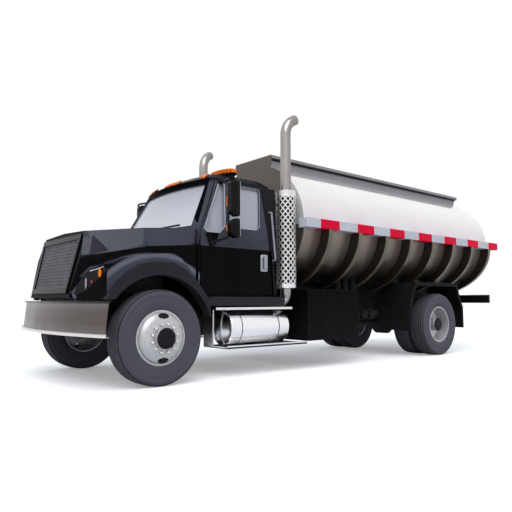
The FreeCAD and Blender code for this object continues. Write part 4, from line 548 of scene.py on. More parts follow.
def makePlateFinish():
    # brown-grey front plate, pale on its upper outer flanks
    v = plateRim
    finish, tree, sockets, plain = openFinish("plateGrey", finishValues["plateGrey"])
    where = coordinates(tree)["Object"]
    place = axes(tree, where)
    shifted = computeVector(tree, "SUBTRACT", where, v["centre"])
    length = computeVector(tree, "LENGTH", computeVector(tree, "MULTIPLY", shifted, v["shape"]))
    across = compute(tree, "ABSOLUTE", place["Y"])
    longest, highest, widest = v["ends"]
    mask = product(tree, between(tree, length, v["start"], longest),
                   between(tree, place["Z"], v["centre"][2], highest),
                   between(tree, across, v["across"], widest))
    feed(tree, mixColour(tree, mask, plain, v["colour"]), sockets["Base Color"])
    return finish


# height bands of painted reflection: a pale highlight at the foot, dark middle, near black top edge
bumperValues = {"bands": [(0.585, (0.80, 0.74, 0.72)), (0.60, (0.15, 0.132, 0.13)),
                          (0.70, (0.10, 0.083, 0.078)), (0.82, (0.11, 0.092, 0.09)),
                          (0.895, (0.16, 0.146, 0.146)), (0.905, (0.02, 0.018, 0.012))],
                "scratch": (0.55, 0.52, 0.51), "amount": 0.05,
                "brush": {"Stretch": (2.0, 1.0, 70.0), "Scale": 6.0, "Strength": 0.03}}


def makeBumperFinish():
    # brushed face painted with reflection in height bands: a pale highlight along its foot, dark across the
    # middle, near black along its top edge
    v = bumperValues
    finish, tree, sockets = openFinish("bumperSteel", finishValues["stainless"])[:3]
    scratch = useGroup(tree, "brushed", **v["brush"])["Mask"]
    share = remap(tree, scratch, 0.0, 1.0, 0.0, v["amount"])
    feed(tree, mixColour(tree, share, heightBands(tree, v["bands"]), v["scratch"]), sockets["Base Color"])
    return finish


lensValues = {"cells": 7.0, "line": 0.88, "lineColour": (0.30, 0.035, 0.004), "beaconBack": 1.1,
              "footTop": 2.622, "footColour": (0.006, 0.006, 0.006)}


def makeLensFinish():
    # amber lenses in short cells, black feet under the beacon
    v = lensValues
    finish, tree, sockets, plain = openFinish("lampAmber", finishValues["amberLens"])
    where = coordinates(tree)["Object"]
    place = axes(tree, where)
    cells = addNode(tree, "ShaderNodeTexWave", Scale=v["cells"], bands_direction="Y")
    feed(tree, where, cells.inputs["Vector"])
    line = compute(tree, "GREATER_THAN", cells.outputs["Fac"], v["line"])
    lens = mixColour(tree, line, plain, v["lineColour"])
    foot = product(tree, compute(tree, "LESS_THAN", place["X"], frontAxle.x - v["beaconBack"]),
                   compute(tree, "LESS_THAN", place["Z"], v["footTop"]))
    feed(tree, mixColour(tree, foot, lens, v["footColour"]), sockets["Base Color"])
    return finish


screenBands = [(1.85, (0.88, 0.89, 0.93)), (2.05, (0.80, 0.81, 0.86)), (2.25, (0.66, 0.68, 0.74)),
               (2.40, (0.50, 0.52, 0.58))]


def makeScreenFinish():
    # windscreen: paler towards its foot
    finish = makeGlass("screenGlass", screenLook)
    tree = finish.node_tree
    feed(tree, heightBands(tree, screenBands), tree.nodes["Principled BSDF"].inputs["Base Color"])
    return finish


# the groove colour is painted shade
grooveValues = {"reach": (0.506, 0.5165), "colour": (0.008, 0.008, 0.010)}


def makeRubberFinish():
    # road tyre, with painted shade at the bottom of its grooves
    finish, tree, sockets, plain = openFinish("tyreRubber", finishValues["tyreRubber"])
    near = compute(tree, "MINIMUM", reach(tree, frontAxle), reach(tree, rearAxle))
    # painted shade at the groove bottoms
    deep = between(tree, near, *grooveValues["reach"], 0.001)
    feed(tree, mixColour(tree, deep, plain, grooveValues["colour"]), sockets["Base Color"])
    return finish


for make in (makeRubberFinish, makeScreenFinish, makePaintFinish, makeBumperFinish, makeLensFinish,
             makePipeFinish, makeRailFinish, makeTankFinish, makeRibFinish, makeTroughFinish,
             makePlateFinish):
    finish = make()
    finishes[finish.name] = finish
print("finishes made:", len(finishes))


# modelling helpers

def startPiece(kind, name, **values):
    bpy.ops.object.select_all(action="DESELECT")
    getattr(bpy.ops.mesh, f"primitive_{kind}_add")(**values)
    piece = bpy.context.object
    piece.name = name
    piece.data.name = name
    return piece


def only(piece):
    # this piece alone is active and selected
    bpy.ops.object.select_all(action="DESELECT")
    bpy.context.view_layer.objects.active = piece
    piece.select_set(True)


def edit(piece):
    only(piece)
    bpy.ops.object.mode_set(mode="EDIT")


def leave():
    bpy.ops.object.mode_set(mode="OBJECT")


def selectAll():
    bpy.ops.mesh.select_all(action="SELECT")


def applyAll(piece):
    only(piece)
    for modifier in list(piece.modifiers):
        bpy.ops.object.modifier_apply(modifier=modifier.name)
    bpy.ops.object.transform_apply(location=True, rotation=True, scale=True)
    return piece


def softenEdges(piece, width, segments=1, angle=30):
    edge = piece.modifiers.new("edges", "BEVEL")
    edge.width = width
    edge.segments = segments
    edge.limit_method = "ANGLE"
    edge.angle_limit = math.radians(angle)


def thicken(piece, thickness, offset=-1):
    wall = piece.modifiers.new("wall", "SOLIDIFY")
    wall.thickness = thickness
    wall.offset = offset


def makeBox(name, size, place):
    box = startPiece("cube", name, size=1, location=place)
    box.scale = size
    return applyAll(box)


def settle(piece, body, finish, smooth=35, replaces=None):
    # finished piece: modifiers and place applied, smoothed, painted and put on its body
    applyAll(piece)
    bpy.ops.object.shade_smooth_by_angle(angle=math.radians(smooth))
    piece.data.materials.clear()
    piece.data.materials.append(finishes[finish])
    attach(piece, body)
    if replaces:
        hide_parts(*replaces)
    piece.select_set(False)
    return piece


def joinPieces(pieces, name):
    bpy.ops.object.select_all(action="DESELECT")
    for piece in pieces:
        piece.select_set(True)
    bpy.context.view_layer.objects.active = pieces[0]
    bpy.ops.object.join()
    pieces[0].name = name
    pieces[0].data.name = name
    return pieces[0]


def evenNormals(piece):
    # every face turned to look outwards
    edit(piece)
    selectAll()
    bpy.ops.mesh.normals_make_consistent(inside=False)
    leave()


def mirrorPiece(piece, name):
    # the same piece on the other side of the truck
    twin = piece.copy()
    twin.data = piece.data.copy()
    twin.name = name
    bpy.context.scene.collection.objects.link(twin)
    only(twin)
    twin.scale = (1, -1, 1)
    bpy.ops.object.transform_apply(location=True, rotation=True, scale=True)
    evenNormals(twin)
    return twin


def spinProfile(name, points, centre, steps):
    # a profile drawn point by point as (along Y, radius), spun about the Y axis through centre
    centre = Vector(centre)
    places = [centre + Vector((0, along, radius)) for along, radius in points]
    piece = startPiece("plane", name, size=0.01, location=places[0])
    applyAll(piece)
    edit(piece)
    selectAll()
    bpy.ops.mesh.merge(type="CENTER")
    for before, after in zip(places, places[1:]):
        bpy.ops.mesh.extrude_region_move(TRANSFORM_OT_translate={"value": after - before})
    selectAll()
    bpy.ops.mesh.spin(steps=steps, angle=2 * math.pi, center=centre, axis=(0, 1, 0))
    selectAll()
    bpy.ops.mesh.remove_doubles(threshold=0.00005)
    bpy.ops.mesh.normals_make_consistent(inside=False)
    leave()
    return piece


def turnPiece(piece, degrees, axis, centre):
    # whole mesh turned about an axis through a point
    applyAll(piece)
    piece.data.transform(Matrix.Translation(Vector(centre)) @ Matrix.Rotation(math.radians(degrees), 4, axis)
                         @ Matrix.Translation(-Vector(centre)))
    return piece


def dress(node, finish, bevel=0.0, smooth=30):
    # a merged copy of a CAD node with softened edges
    source = nodes[node]
    piece = bpy.data.objects.new(f"{node}_dressed", source.data.copy())
    bpy.context.scene.collection.objects.link(piece)
    edit(piece)
    selectAll()
    bpy.ops.mesh.remove_doubles(threshold=0.00002)
    bpy.ops.mesh.customdata_custom_splitnormals_clear()
    if bevel:
        bpy.ops.mesh.dissolve_limited(angle_limit=math.radians(0.1))
    leave()
    if bevel:
        softenEdges(piece, bevel, 2, 32)
    settle(piece, source["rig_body"], finish, smooth, (node,))
    if bevel:
        even = piece.modifiers.new("normals", "WEIGHTED_NORMAL")
        even.keep_sharp = True
        even.weight = 80
        applyAll(piece)
        piece.select_set(False)
    return piece


def paint(node, finish):
    # keeps a CAD node's own mesh and gives it a finish
    mesh = nodes[node].data
    mesh.materials.clear()
    mesh.materials.append(finishes[finish])


print("helpers ready")


# wheels
tyre = {"radius": 0.525, "half": 0.140, "groove": 0.016, "deep": 0.014, "steps": 84, "crown": 0.002,
        "ribs": (0.084, 0.042, 0.0, -0.042, -0.084), "bead": (0.108, 0.2925),
        "side": [(0.112, 0.2925), (0.118, 0.302), (0.128, 0.322), (0.1375, 0.362), (0.140, 0.405),
                 (0.139, 0.440), (0.1375, 0.446), (0.1385, 0.4475), (0.135, 0.478), (0.1305, 0.500),
                 (0.1275, 0.5025), (0.1275, 0.5060), (0.1235, 0.5085), (0.1235, 0.5125), (0.117, 0.5190),
                 (0.112, 0.5215)]}


def tyreProfile():
    # (along the axle, radius) round the section: side, five grooves, other side, bead
    half = tyre["groove"] / 2
    floor = tyre["radius"] - tyre["deep"]
    tread = []
    for groove in tyre["ribs"]:
        top = tyre["radius"] - tyre["crown"] * abs(groove) / tyre["ribs"][0]
        tread += [(groove + half, top), (groove + half * 0.6, floor), (groove - half * 0.6, floor),
                  (groove - half, top)]
    along, bead = tyre["bead"]
    other = [(-y, z) for y, z in reversed(tyre["side"])]
    return tyre["side"] + tread + other + [(-along, bead), (along, bead), tyre["side"][0]]


def makeTyres():
    for tag in ("left", "right"):
        one = spinProfile(f"frontTyreRoad_{tag}", tyreProfile(), middle(f"front_tyre_{tag}"), tyre["steps"])
        settle(one, f"wheel_front_{tag}", "tyreRubber", 50, (f"front_tyre_{tag}",))
        low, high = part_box(f"rear_tyre_{tag}")
        pair = []
        for y in (low.y + tyre["half"], high.y - tyre["half"]):
            pair.append(spinProfile(f"rearTyreRoad_{tag}", tyreProfile(), (rearAxle.x, y, rearAxle.z),
                                    tyre["steps"]))
        both = joinPieces(pair, f"rearTyreRoad_{tag}")
        settle(both, f"wheel_rear_{tag}", "tyreRubber", 50, (f"rear_tyre_{tag}",))


makeTyres()
print("tyres made")


def outlinePlate(name, corners, thick=0.004, rounding=0.0, rim=0.0, soften=0.0):
    # flat plate through corners given in order; a rim keeps only a border of that width
    piece = startPiece("circle", name, vertices=len(corners), radius=0.1, fill_type="NGON")
    for vertex, corner in zip(piece.data.vertices, corners):
        vertex.co = corner
    edit(piece)
    selectAll()
    if rounding:
        bpy.ops.mesh.bevel(offset=rounding, segments=4, affect="VERTICES")
        selectAll()
    if rim:
        bpy.ops.mesh.select_mode(type="FACE")
        bpy.ops.mesh.inset(thickness=rim)
        bpy.ops.mesh.delete(type="FACE")
        selectAll()
    leave()
    thicken(piece, thick, 1)
    if soften:
        softenEdges(piece, soften, 2)
    return piece


def doorSide(height):
    # how far out the door's skin is at a height
    steps = [(0.9, 1.0), (1.59, 1.005), (1.8, 0.986), (2.435, 0.872), (2.57, 0.72)]
    for (low, a), (high, b) in zip(steps, steps[1:]):
        if height <= high:
            return a + (b - a) * (height - low) / (high - low)
    return steps[-1][1]


def onDoor(back, height, out=0.0):
    return spot(back, doorSide(height) + out, height)


def bothSides(piece, name, bodies, finish, smooth=35):
    # the left piece and its mirror image on the right
    twin = mirrorPiece(applyAll(piece), f"{name}_right")
    settle(piece, bodies[0], finish, smooth)
    settle(twin, bodies[1], finish, smooth)


# wheel nuts and hub trim
sides = (("left", 1), ("right", -1))
nutValues = {"count": 12, "circle": 0.155, "steps": 10, "front": 0.174, "rear": 0.930,
             "profile": [(0.0, 0.025), (0.005, 0.025), (0.009, 0.021), (0.030, 0.020), (0.038, 0.013),
                         (0.038, 0.0)]}


def makeNuts():
    v = nutValues
    for tag, sign in sides:
        profile = [(sign * along, radius) for along, radius in v["profile"]]
        front = middle(f"front_tyre_{tag}") + Vector((0, sign * v["front"], 0))
        rear = Vector((rearAxle.x, sign * v["rear"], rearAxle.z))
        for place, start in (("front", front), ("rear", rear)):
            nuts = []
            for i in range(v["count"]):
                angle = 2 * math.pi * (i + 0.5) / v["count"]
                centre = start + Vector((math.cos(angle), 0, math.sin(angle))) * v["circle"]
                nuts.append(spinProfile(f"{place}Nut", profile, centre, v["steps"]))
            settle(joinPieces(nuts, f"{place}Nuts_{tag}"), f"wheel_{place}_{tag}", "brightEdge", 40)


makeNuts()


holeValues = {"circle": 0.242, "long": 0.066, "wide": 0.031, "count": 24, "turns": (90, 270), "thick": 0.002,
              "out": 0.002, "cuts": 3, "beyond": 1.6, "beside": 0.6, "seatTurn": 0.4,
              "cap": [(0.0, 0.114), (0.003, 0.114), (0.006, 0.110), (0.008, 0.05), (0.0085, 0.0)],
              "capSteps": 40, "capSeat": {"front": 0.06, "rear": 0.02}}


def dishFace(tag, place, radius, angle):
    # how far out the wheel's face is at a radius and angle
    sign = 1 if tag == "left" else -1
    axle = frontAxle if place == "front" else rearAxle
    start = Vector((axle.x + radius * math.cos(angle), sign * holeValues["beyond"],
                    axle.z + radius * math.sin(angle)))
    hit, point = nodes[f"{place}_rim_{tag}"].ray_cast(start, Vector((0, -sign, 0)))[:2]
    return point.y if hit else None


def makeWheelTrim():
    v = holeValues
    for tag, sign in sides:
        for place, axle in (("front", frontAxle), ("rear", rearAxle)):
            # black ovals laid just off the dish stand for its hand holes as painted shade
            ovals = []
            for turn in v["turns"]:
                oval = startPiece("circle", f"{place}Hole", vertices=v["count"], radius=1, fill_type="TRIFAN")
                edit(oval)
                selectAll()
                bpy.ops.mesh.subdivide(number_cuts=v["cuts"])
                leave()
                for vertex in oval.data.vertices:
                    radius = v["circle"] + v["wide"] * vertex.co.y
                    angle = math.radians(turn) + v["long"] * vertex.co.x / v["circle"]
                    y = dishFace(tag, place, radius, math.radians(turn) + v["beside"])
                    vertex.co = Vector((axle.x + radius * math.cos(angle), y + sign * v["out"],
                                        axle.z + radius * math.sin(angle)))
                ovals.append(oval)
            holes = joinPieces(ovals, f"{place}Holes_{tag}")
            thicken(holes, v["thick"])
            settle(holes, f"wheel_{place}_{tag}", "sealBlack", 40)
            face = dishFace(tag, place, v["capSeat"][place], v["seatTurn"])
            profile = [(sign * y, r) for y, r in v["cap"]]
            cap = spinProfile(f"{place}Cap_{tag}", profile, (axle.x, face, axle.z), v["capSteps"])
            settle(cap, f"wheel_{place}_{tag}", "hubCap", 40)


makeWheelTrim()
print("wheel nuts, caps and holes made")


# body panels
# finish, and the width of the softened edges in metres
panelLooks = {"hood": ("bodyBlack", 0.007), "cab_shell": ("bodyBlack", 0.006),
              "door_left": ("bodyBlack", 0.005), "door_right": ("bodyBlack", 0.005),
              "fender_flares": ("darkTrim", 0.006),
              "bumper": ("bumperSteel", 0.002), "grille_surround": ("shellBlack", 0.004),
              "mirror_left": ("shellBlack", 0.008), "mirror_right": ("shellBlack", 0.008),
              "tool_boxes": ("bodyBlack", 0.006), "box_door_left": ("bodyBlack", 0.006),
              "box_door_right": ("bodyBlack", 0.006), "cab_skirts": ("darkTrim", 0.006),
              "step_trays": ("brightEdge", 0.002), "roof_lamps": ("lampAmber", 0.005),
              "corner_panels": ("panelBlack", 0.003), "mud_guards": ("flapRubber", 0.002),
              "side_rails": ("railTape", 0.004), "top_trough": ("troughGrey", 0.003),
              "front_plate": ("plateGrey", 0.003), "tank_ribs": ("ribMetal", 0.003),
              "rear_bumper": ("chassisBlack", 0.005)}
# smoothed, with their edges as they are
plainLooks = {"tankSkin": ("tank_shell",),
              "wheelSilver": ("front_rim_left", "front_rim_right", "rear_rim_left", "rear_rim_right"),
              "pipeSteel": ("exhaust_pipes",),
              "ribMetal": ("manhole_lid_1", "manhole_lid_2", "manhole_lid_3"), "railGrey": ("grab_rails",),
              "brightEdge": ("rear_ladder",), "chassisBlack": ("discharge_valves",),
              "cabInside": ("dashboard",), "seatCloth": ("seats",)}
# shown as they come from the frame
paintLooks = {"chassisBlack": ("chassis_frame", "radiator", "stack_guards"),
              "castIron": ("leaf_springs", "front_axle", "rear_axle", "drive_shaft", "engine_block",
                           "knuckle_left", "knuckle_right"),
              "screenGlass": ("cab_glass",), "windowGlass": ("door_glass_left", "door_glass_right"),
              "lampDark": ("headlamps",)}
for node, (finish, bevel) in panelLooks.items():
    dress(node, finish, bevel)
for finish, names in plainLooks.items():
    for node in names:
        dress(node, finish)
for finish, names in paintLooks.items():
    for node in names:
        paint(node, finish)
print("panels dressed")


fuelValues = {"radius": 0.221, "across": 0.905, "height": 0.596, "dome": 0.045, "domeSteps": 8, "steps": 64,
              "straps": (-1.150, -1.760), "strap": (0.0015, 0.012), "saddle": (0.060, 0.055),
              "saddleInner": 0.43, "saddleDrop": 0.03}


def makeFuelTanks():
    # polished tank that fills the space between tray and step bar, with two thin straps
    low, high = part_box("fuel_tanks")
    v = fuelValues
    length = high.x - low.x
    bend = [math.pi / 2 * i / v["domeSteps"] for i in range(v["domeSteps"] + 1)]
    dome = [(v["dome"] * (1 - math.cos(a)), v["radius"] * math.sin(a)) for a in bend]
    profile = dome + [(length - along, radius) for along, radius in reversed(dome)]
    start = Vector((high.x, v["across"], v["height"]))
    tank = spinProfile("fuelTank_left", profile, start, v["steps"])
    turnPiece(tank, 90, "Z", start)
    saddles = []
    for back in v["straps"]:
        place = spot(back, (v["across"] + v["saddleInner"]) / 2, v["height"] + v["radius"] - v["saddleDrop"])
        size = (v["saddle"][0], v["across"] - v["saddleInner"], v["saddle"][1])
        saddles.append(makeBox("fuelSaddle", size, place))
    near = joinPieces([tank] + saddles, "fuelTankNear")
    both = joinPieces([near, mirrorPiece(near, "fuelTankFar")], "fuelTanks")
    settle(both, "root", "fuelPolish", 35, ("fuel_tanks",))
    bands = []
    for back in v["straps"]:
        ring = startPiece("cylinder", "fuelStrap", vertices=v["steps"], radius=v["radius"] + v["strap"][0],
                          depth=v["strap"][1], end_fill_type="NOTHING", rotation=(0, math.pi / 2, 0),
                          location=spot(back, v["across"], v["height"]))
        bands.append(applyAll(ring))
    straps = joinPieces(bands, "fuelStraps_left")
    bothSides(straps, "fuelStraps", ("root", "root"), "castIron", 60)


trayValues = {"front": -0.897, "rear": -2.245, "side": 1.147, "lip": (0.346, 0.388), "lipThick": 0.003,
              "opening": (0.04, 0.32, 0.436), "across": 1.02, "height": 0.594}


def trimTrays():
    # the tray's front plate stands only beside the frame; a lip runs along the tray's outer edge
    v = trayValues
    tray = bpy.data.objects["step_trays_dressed"]
    for sign in (1, -1):
        cutter = makeBox("plateCutter", v["opening"], spot(v["front"], sign * v["across"], v["height"]))
        opening = tray.modifiers.new("opening", "BOOLEAN")
        opening.object = cutter
        opening.solver = "EXACT"
        applyAll(tray)
        bpy.data.objects.remove(cutter)
    low, high = v["lip"]
    corners = ((v["front"], low), (v["rear"], low), (v["rear"], high), (v["front"], high))
    places = [spot(back, v["side"], height) for back, height in corners]
    lip = outlinePlate("trayLip_left", places, v["lipThick"])
    bothSides(lip, "trayLip", ("root", "root"), "brightEdge")


makeFuelTanks()
trimTrays()
print("fuel tanks and trays made")


# lattices
def latticeSheet(name, columns, rows, width, height, strut):
    # diamond openings in a flat sheet on XZ, centred on the origin
    piece = startPiece("grid", name, x_subdivisions=columns + rows, y_subdivisions=columns + rows,
                       size=math.sqrt(2) * (columns + rows) / 2, rotation=(0, 0, math.radians(45)))
    applyAll(piece)
    stepX, stepZ = width / columns, height / rows
    for vertex in piece.data.vertices:
        vertex.co = Vector((vertex.co.x * stepX, 0, vertex.co.y * stepZ))
    edit(piece)
    for place, normal in (((width / 2, 0, 0), (1, 0, 0)), ((-width / 2, 0, 0), (-1, 0, 0)),
                          ((0, 0, height / 2), (0, 0, 1)), ((0, 0, -height / 2), (0, 0, -1))):
        selectAll()
        bpy.ops.mesh.bisect(plane_co=place, plane_no=normal, clear_outer=True)
    selectAll()
    bpy.ops.mesh.remove_doubles(threshold=0.0001)
    leave()
    edit(piece)
    bpy.ops.mesh.select_mode(type="FACE")
    selectAll()
    bpy.ops.mesh.inset(thickness=strut, use_individual=True)
    bpy.ops.mesh.delete(type="FACE")
    leave()
    return piece


shieldValues = {"columns": 12, "rows": 14, "strut": 0.0080, "radius": 0.1355, "wall": 0.003, "low": 1.145,
                "high": 2.345, "back": -2.0, "across": 1.0, "lap": 0.006, "ring": 0.0032, "ringGap": 0.012,
                "ringEnd": 0.004, "ringSteps": (48, 8), "bandSteps": 64}


def makeShields():
    low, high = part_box("stack_shields")
    v = shieldValues
    around = 2 * math.pi * v["radius"]
    centre = spot(v["back"], v["across"], 0)
    sheet = latticeSheet("stackLattice_left", v["columns"], v["rows"], around, v["high"] - v["low"],
                         v["strut"])
    for vertex in sheet.data.vertices:
        angle = vertex.co.x / v["radius"]
        vertex.co = Vector((centre.x + v["radius"] * math.sin(angle),
                            centre.y + v["radius"] * math.cos(angle),
                            vertex.co.z + (v["low"] + v["high"]) / 2))
    edit(sheet)
    selectAll()
    bpy.ops.mesh.remove_doubles(threshold=0.0005)
    leave()
    bands = []
    for bottom, top in ((low.z, v["low"] + v["lap"]), (v["high"] - v["lap"], high.z)):
        ring = startPiece("cylinder", "stackBand", vertices=v["bandSteps"], radius=v["radius"],
                          depth=top - bottom, end_fill_type="NOTHING",
                          location=(centre.x, centre.y, (top + bottom) / 2))
        bands.append(applyAll(ring))
    shield = joinPieces([sheet] + bands, "stackLattice_left")
    thicken(shield, v["wall"], 0)
    applyAll(shield)
    twin = mirrorPiece(shield, "stackLattice_right")
    both = joinPieces([shield, twin], "stackLattice")
    settle(both, "root", "shieldBright", 40, ("stack_shields",))
    rings = []
    heights = (v["low"] - v["ringGap"], v["high"] + v["ringGap"], high.z - v["ringEnd"], low.z + v["ringEnd"])
    for sign in (1, -1):
        for height in heights:
            rings.append(startPiece("torus", "stackRing", major_radius=v["radius"], minor_radius=v["ring"],
                                    major_segments=v["ringSteps"][0], minor_segments=v["ringSteps"][1],
                                    location=(centre.x, sign * centre.y, height)))
    settle(joinPieces(rings, "stackRings"), "root", "chrome", 60)


makeShields()
print("stack shields made")


grilleValues = {"columns": 20, "rows": 7, "strut": 0.0125, "wall": 0.004, "thick": 0.012,
                "taper": 0.04 / 0.532, "backSet": 0.014, "backEdge": 0.003, "backHalf": (0.50, 0.54),
                "backThick": 0.002}


def makeGrille():
    low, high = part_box("grille_mesh")
    v = grilleValues
    width, height = high.y - low.y, high.z - low.z
    sheet = latticeSheet("grilleLattice", v["columns"], v["rows"], width, height, v["strut"])
    lean = (high.x - low.x - v["thick"]) / height
    for vertex in sheet.data.vertices:
        rise = vertex.co.z + height / 2
        taper = 1 - v["taper"] * (1 - rise / height)
        vertex.co = Vector((high.x - lean * rise, vertex.co.x * taper, low.z + rise))
    evenNormals(sheet)
    thicken(sheet, v["wall"], 0)
    settle(sheet, "hood", "meshSteel", 40, ("grille_mesh",))
    foot, head = high.x - v["backSet"], high.x - v["backSet"] - lean * height
    near, far = v["backHalf"]
    corners = ((foot, -near, low.z + v["backEdge"]), (foot, near, low.z + v["backEdge"]),
               (head, far, high.z - v["backEdge"]), (head, -far, high.z - v["backEdge"]))
    back = outlinePlate("grilleBack", [Vector(corner) for corner in corners], v["backThick"])
    settle(back, "hood", "sealBlack")


makeGrille()
print("grille made")


# door and cab trim
# (back, height) corners, distance off the door, then the plate's thickness, rounding, rim and softened edge
doorTrims = {
    "ventTrim": (((-0.655, 1.800), (-0.700, 1.760), (-0.890, 1.757), (-0.990, 1.850), (-1.046, 2.400),
                  (-1.030, 2.412), (-0.960, 2.412), (-0.938, 2.398)), 0.0005,
                 (0.006, 0.006, 0.017, 0.001), "paleTrim"),
    "windowTrim": (((-1.032, 1.843), (-1.500, 1.843), (-1.550, 1.890), (-1.622, 2.375), (-1.592, 2.412),
                    (-1.090, 2.412)), 0.0005, (0.003, 0.02, 0.006), "paleTrim"),
    "handleBezel": (((-1.541, 1.307), (-1.657, 1.307), (-1.657, 1.527), (-1.541, 1.527)), 0.0005,
                    (0.008, 0.016, 0.0, 0.002), "paleTrim"),
    "handlePocket": (((-1.566, 1.332), (-1.632, 1.332), (-1.632, 1.502), (-1.566, 1.502)), 0.0088,
                     (0.001, 0.012), "pocketGrey"),
    "handleShade": (((-1.584, 1.352), (-1.594, 1.352), (-1.594, 1.482), (-1.584, 1.482)), 0.0100,
                    (0.001,), "sealBlack"),
    "handleGrip": (((-1.596, 1.346), (-1.620, 1.346), (-1.620, 1.488), (-1.596, 1.488)), 0.010,
                   (0.012, 0.008, 0.0, 0.003), "paleTrim"),
}


def makeDoorTrim():
    for name, (corners, out, plate, finish) in doorTrims.items():
        piece = outlinePlate(f"{name}_left", [onDoor(back, height, out) for back, height in corners], *plate)
        bothSides(piece, name, ("door_left", "door_right"), finish)


makeDoorTrim()


mirrorValues = {"back": -0.985, "depth": 0.070, "near": 1.178, "far": 1.287, "tall": (1.952, 2.374),
                "short": (1.694, 1.906), "folded": -0.125, "margin": (0.020, 0.024), "edge": 0.026,
                "bar": (-0.883, 1.158), "strip": (0.014, 0.024), "strips": ((2.070, 2.200), (1.765, 1.840)),
                "pane": (0.003, 0.016), "stripEdge": 0.003}


def makeMirrorTrim():
    # panes, rounded shells and amber strips; the right heads are folded in beside the cab
    v = mirrorValues
    x = frontAxle.x + v["back"]
    for tag, sign in sides:
        shift = 0 if sign > 0 else v["folded"]
        near, far = v["near"] + shift, v["far"] + shift
        panes, shells, strips = [], [], []
        for low, high in (v["tall"], v["short"]):
            outline = ((near, low), (far, low), (far, high), (near, high))
            corners = [Vector((x, sign * y, z)) for y, z in outline]
            panes.append(applyAll(outlinePlate("mirrorPane", corners, *v["pane"])))
            size = (v["depth"], far - near + v["margin"][0], high - low + v["margin"][1])
            place = (x + v["depth"] / 2 + 0.001, sign * (near + far) / 2, (low + high) / 2)
            shell = makeBox("mirrorShell", size, place)
            softenEdges(shell, v["edge"], 4)
            shells.append(applyAll(shell))
        for low, high in v["strips"]:
            strip = startPiece("cube", "mirrorStrip", size=1,
                               location=spot(v["bar"][0], sign * v["bar"][1], (low + high) / 2))
            strip.scale = (*v["strip"], high - low)
            softenEdges(strip, v["stripEdge"])
            strips.append(applyAll(strip))
        for row, name, finish, smooth in ((shells, "mirrorShells", "shellBlack", 60),
                                          (panes, "mirrorPanes", "mirrorGlass", 35),
                                          (strips, "mirrorStrips", "amberLens", 35)):
            settle(joinPieces(row, f"{name}_{tag}"), f"door_{tag}", finish, smooth)


makeMirrorTrim()


hoodTrim = {"screen": ((0.583, 0.639, 1.653), (0.659, 0.727, 1.426), (0.459, 0.777, 1.479)),
            "screenOut": 0.003, "nose": (0.703, 0.851), "facing": (0.94, 0.34), "steps": 24,
            "brow": ((0.861, 1.244), (0.940, 1.262), (1.048, 1.288), (1.048, 1.279), (0.942, 1.252),
                     (0.864, 1.236)),
            "valance": (0.70, 0.65, 0.80, 0.975), "screenPlate": (0.003, 0.006, 0.0, 0.001),
            "fitting": (0.006, 0.0, 0.0, 0.0015), "fittingOut": 0.0012, "thick": 0.004}
# (across, height) of the middle, half sizes and finish of what shows behind the lamp's lens
lampParts = {"sideLight": ((1.000, 1.216), (0.021, 0.046), "amberLens"),
             "reflector": ((0.812, 1.112), (0.014, 0.058), "railGrey"),
             "redLamp": ((0.893, 1.128), (0.013, 0.013), "redLens")}


def onNose(y, z, out=0.002):
    # point just off the fender's front corner
    ahead, side = hoodTrim["facing"]
    start, across = hoodTrim["nose"]
    return spot(start - (y - across) * side / ahead, y, z) + Vector((ahead, side, 0)) * out


def makeHoodTrim():
    # screens behind the hood's front corners, lamp fittings and brows, and the panel under the nose
    v = hoodTrim
    triangle = [spot(*corner) for corner in v["screen"]]
    side = (triangle[1] - triangle[0]).cross(triangle[2] - triangle[0]).normalized()
    out = v["screenOut"] if side.y > 0 else -v["screenOut"]
    screen = outlinePlate("hoodScreen_left", [corner + side * out for corner in triangle], *v["screenPlate"])
    bothSides(screen, "hoodScreen", ("hood", "hood"), "darkTrim")
    for name, ((across, height), (wide, high), finish) in lampParts.items():
        turns = [2 * math.pi * i / v["steps"] for i in range(v["steps"])]
        corners = [onNose(across + wide * math.cos(a), height + high * math.sin(a), v["fittingOut"])
                   for a in turns]
        fitting = outlinePlate(f"{name}_left", corners, *v["fitting"])
        bothSides(fitting, name, ("hood", "hood"), finish, 60)
    brow = outlinePlate("lampBrow_left", [onNose(y, z) for y, z in v["brow"]], v["thick"])
    bothSides(brow, "lampBrow", ("hood", "hood"), "chrome")
    x, half, low, high = v["valance"]
    panel = [spot(x, y, z) for y, z in ((-half, low), (half, low), (half, high), (-half, high))]
    settle(outlinePlate("noseValance", panel, v["thick"]), "root", "sealBlack")


makeHoodTrim()


tailValues = {"radius": 0.052, "thick": 0.014, "height": 0.965, "across": (1.020, 0.885), "steps": 32,
              "ring": (0.009, 0.010), "edge": 0.003, "sunk": 0.002}


def makeTailLamps():
    # red lamps in black rubber rings on the ends of the rear beam
    v = tailValues
    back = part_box("rear_bumper")[0].x
    lamps, rings = [], []
    for sign in (1, -1):
        for across in v["across"]:
            for row, radius, thick in ((lamps, v["radius"], v["thick"]),
                                       (rings, v["radius"] + v["ring"][0], v["ring"][1])):
                disc = startPiece("cylinder", "tailLamp", vertices=v["steps"], radius=radius, depth=thick,
                                  rotation=(0, math.pi / 2, 0),
                                  location=(back - thick / 2 + v["sunk"], sign * across, v["height"]))
                softenEdges(disc, v["edge"], 2)
                row.append(applyAll(disc))
    settle(joinPieces(lamps, "tailLamps"), "root", "redLens")
    settle(joinPieces(rings, "tailRings"), "root", "sealBlack")


wiperValues = {"blades": ((0.10, 1.850, 0.62, 1.858), (-0.70, 1.858, -0.18, 1.850)),
               "pivots": ((0.30, 1.839), (-0.50, 1.839)),
               "wide": 0.016, "thick": 0.010, "arm": 0.012, "bladeOut": 0.004, "armOut": (0.012, 0.016)}


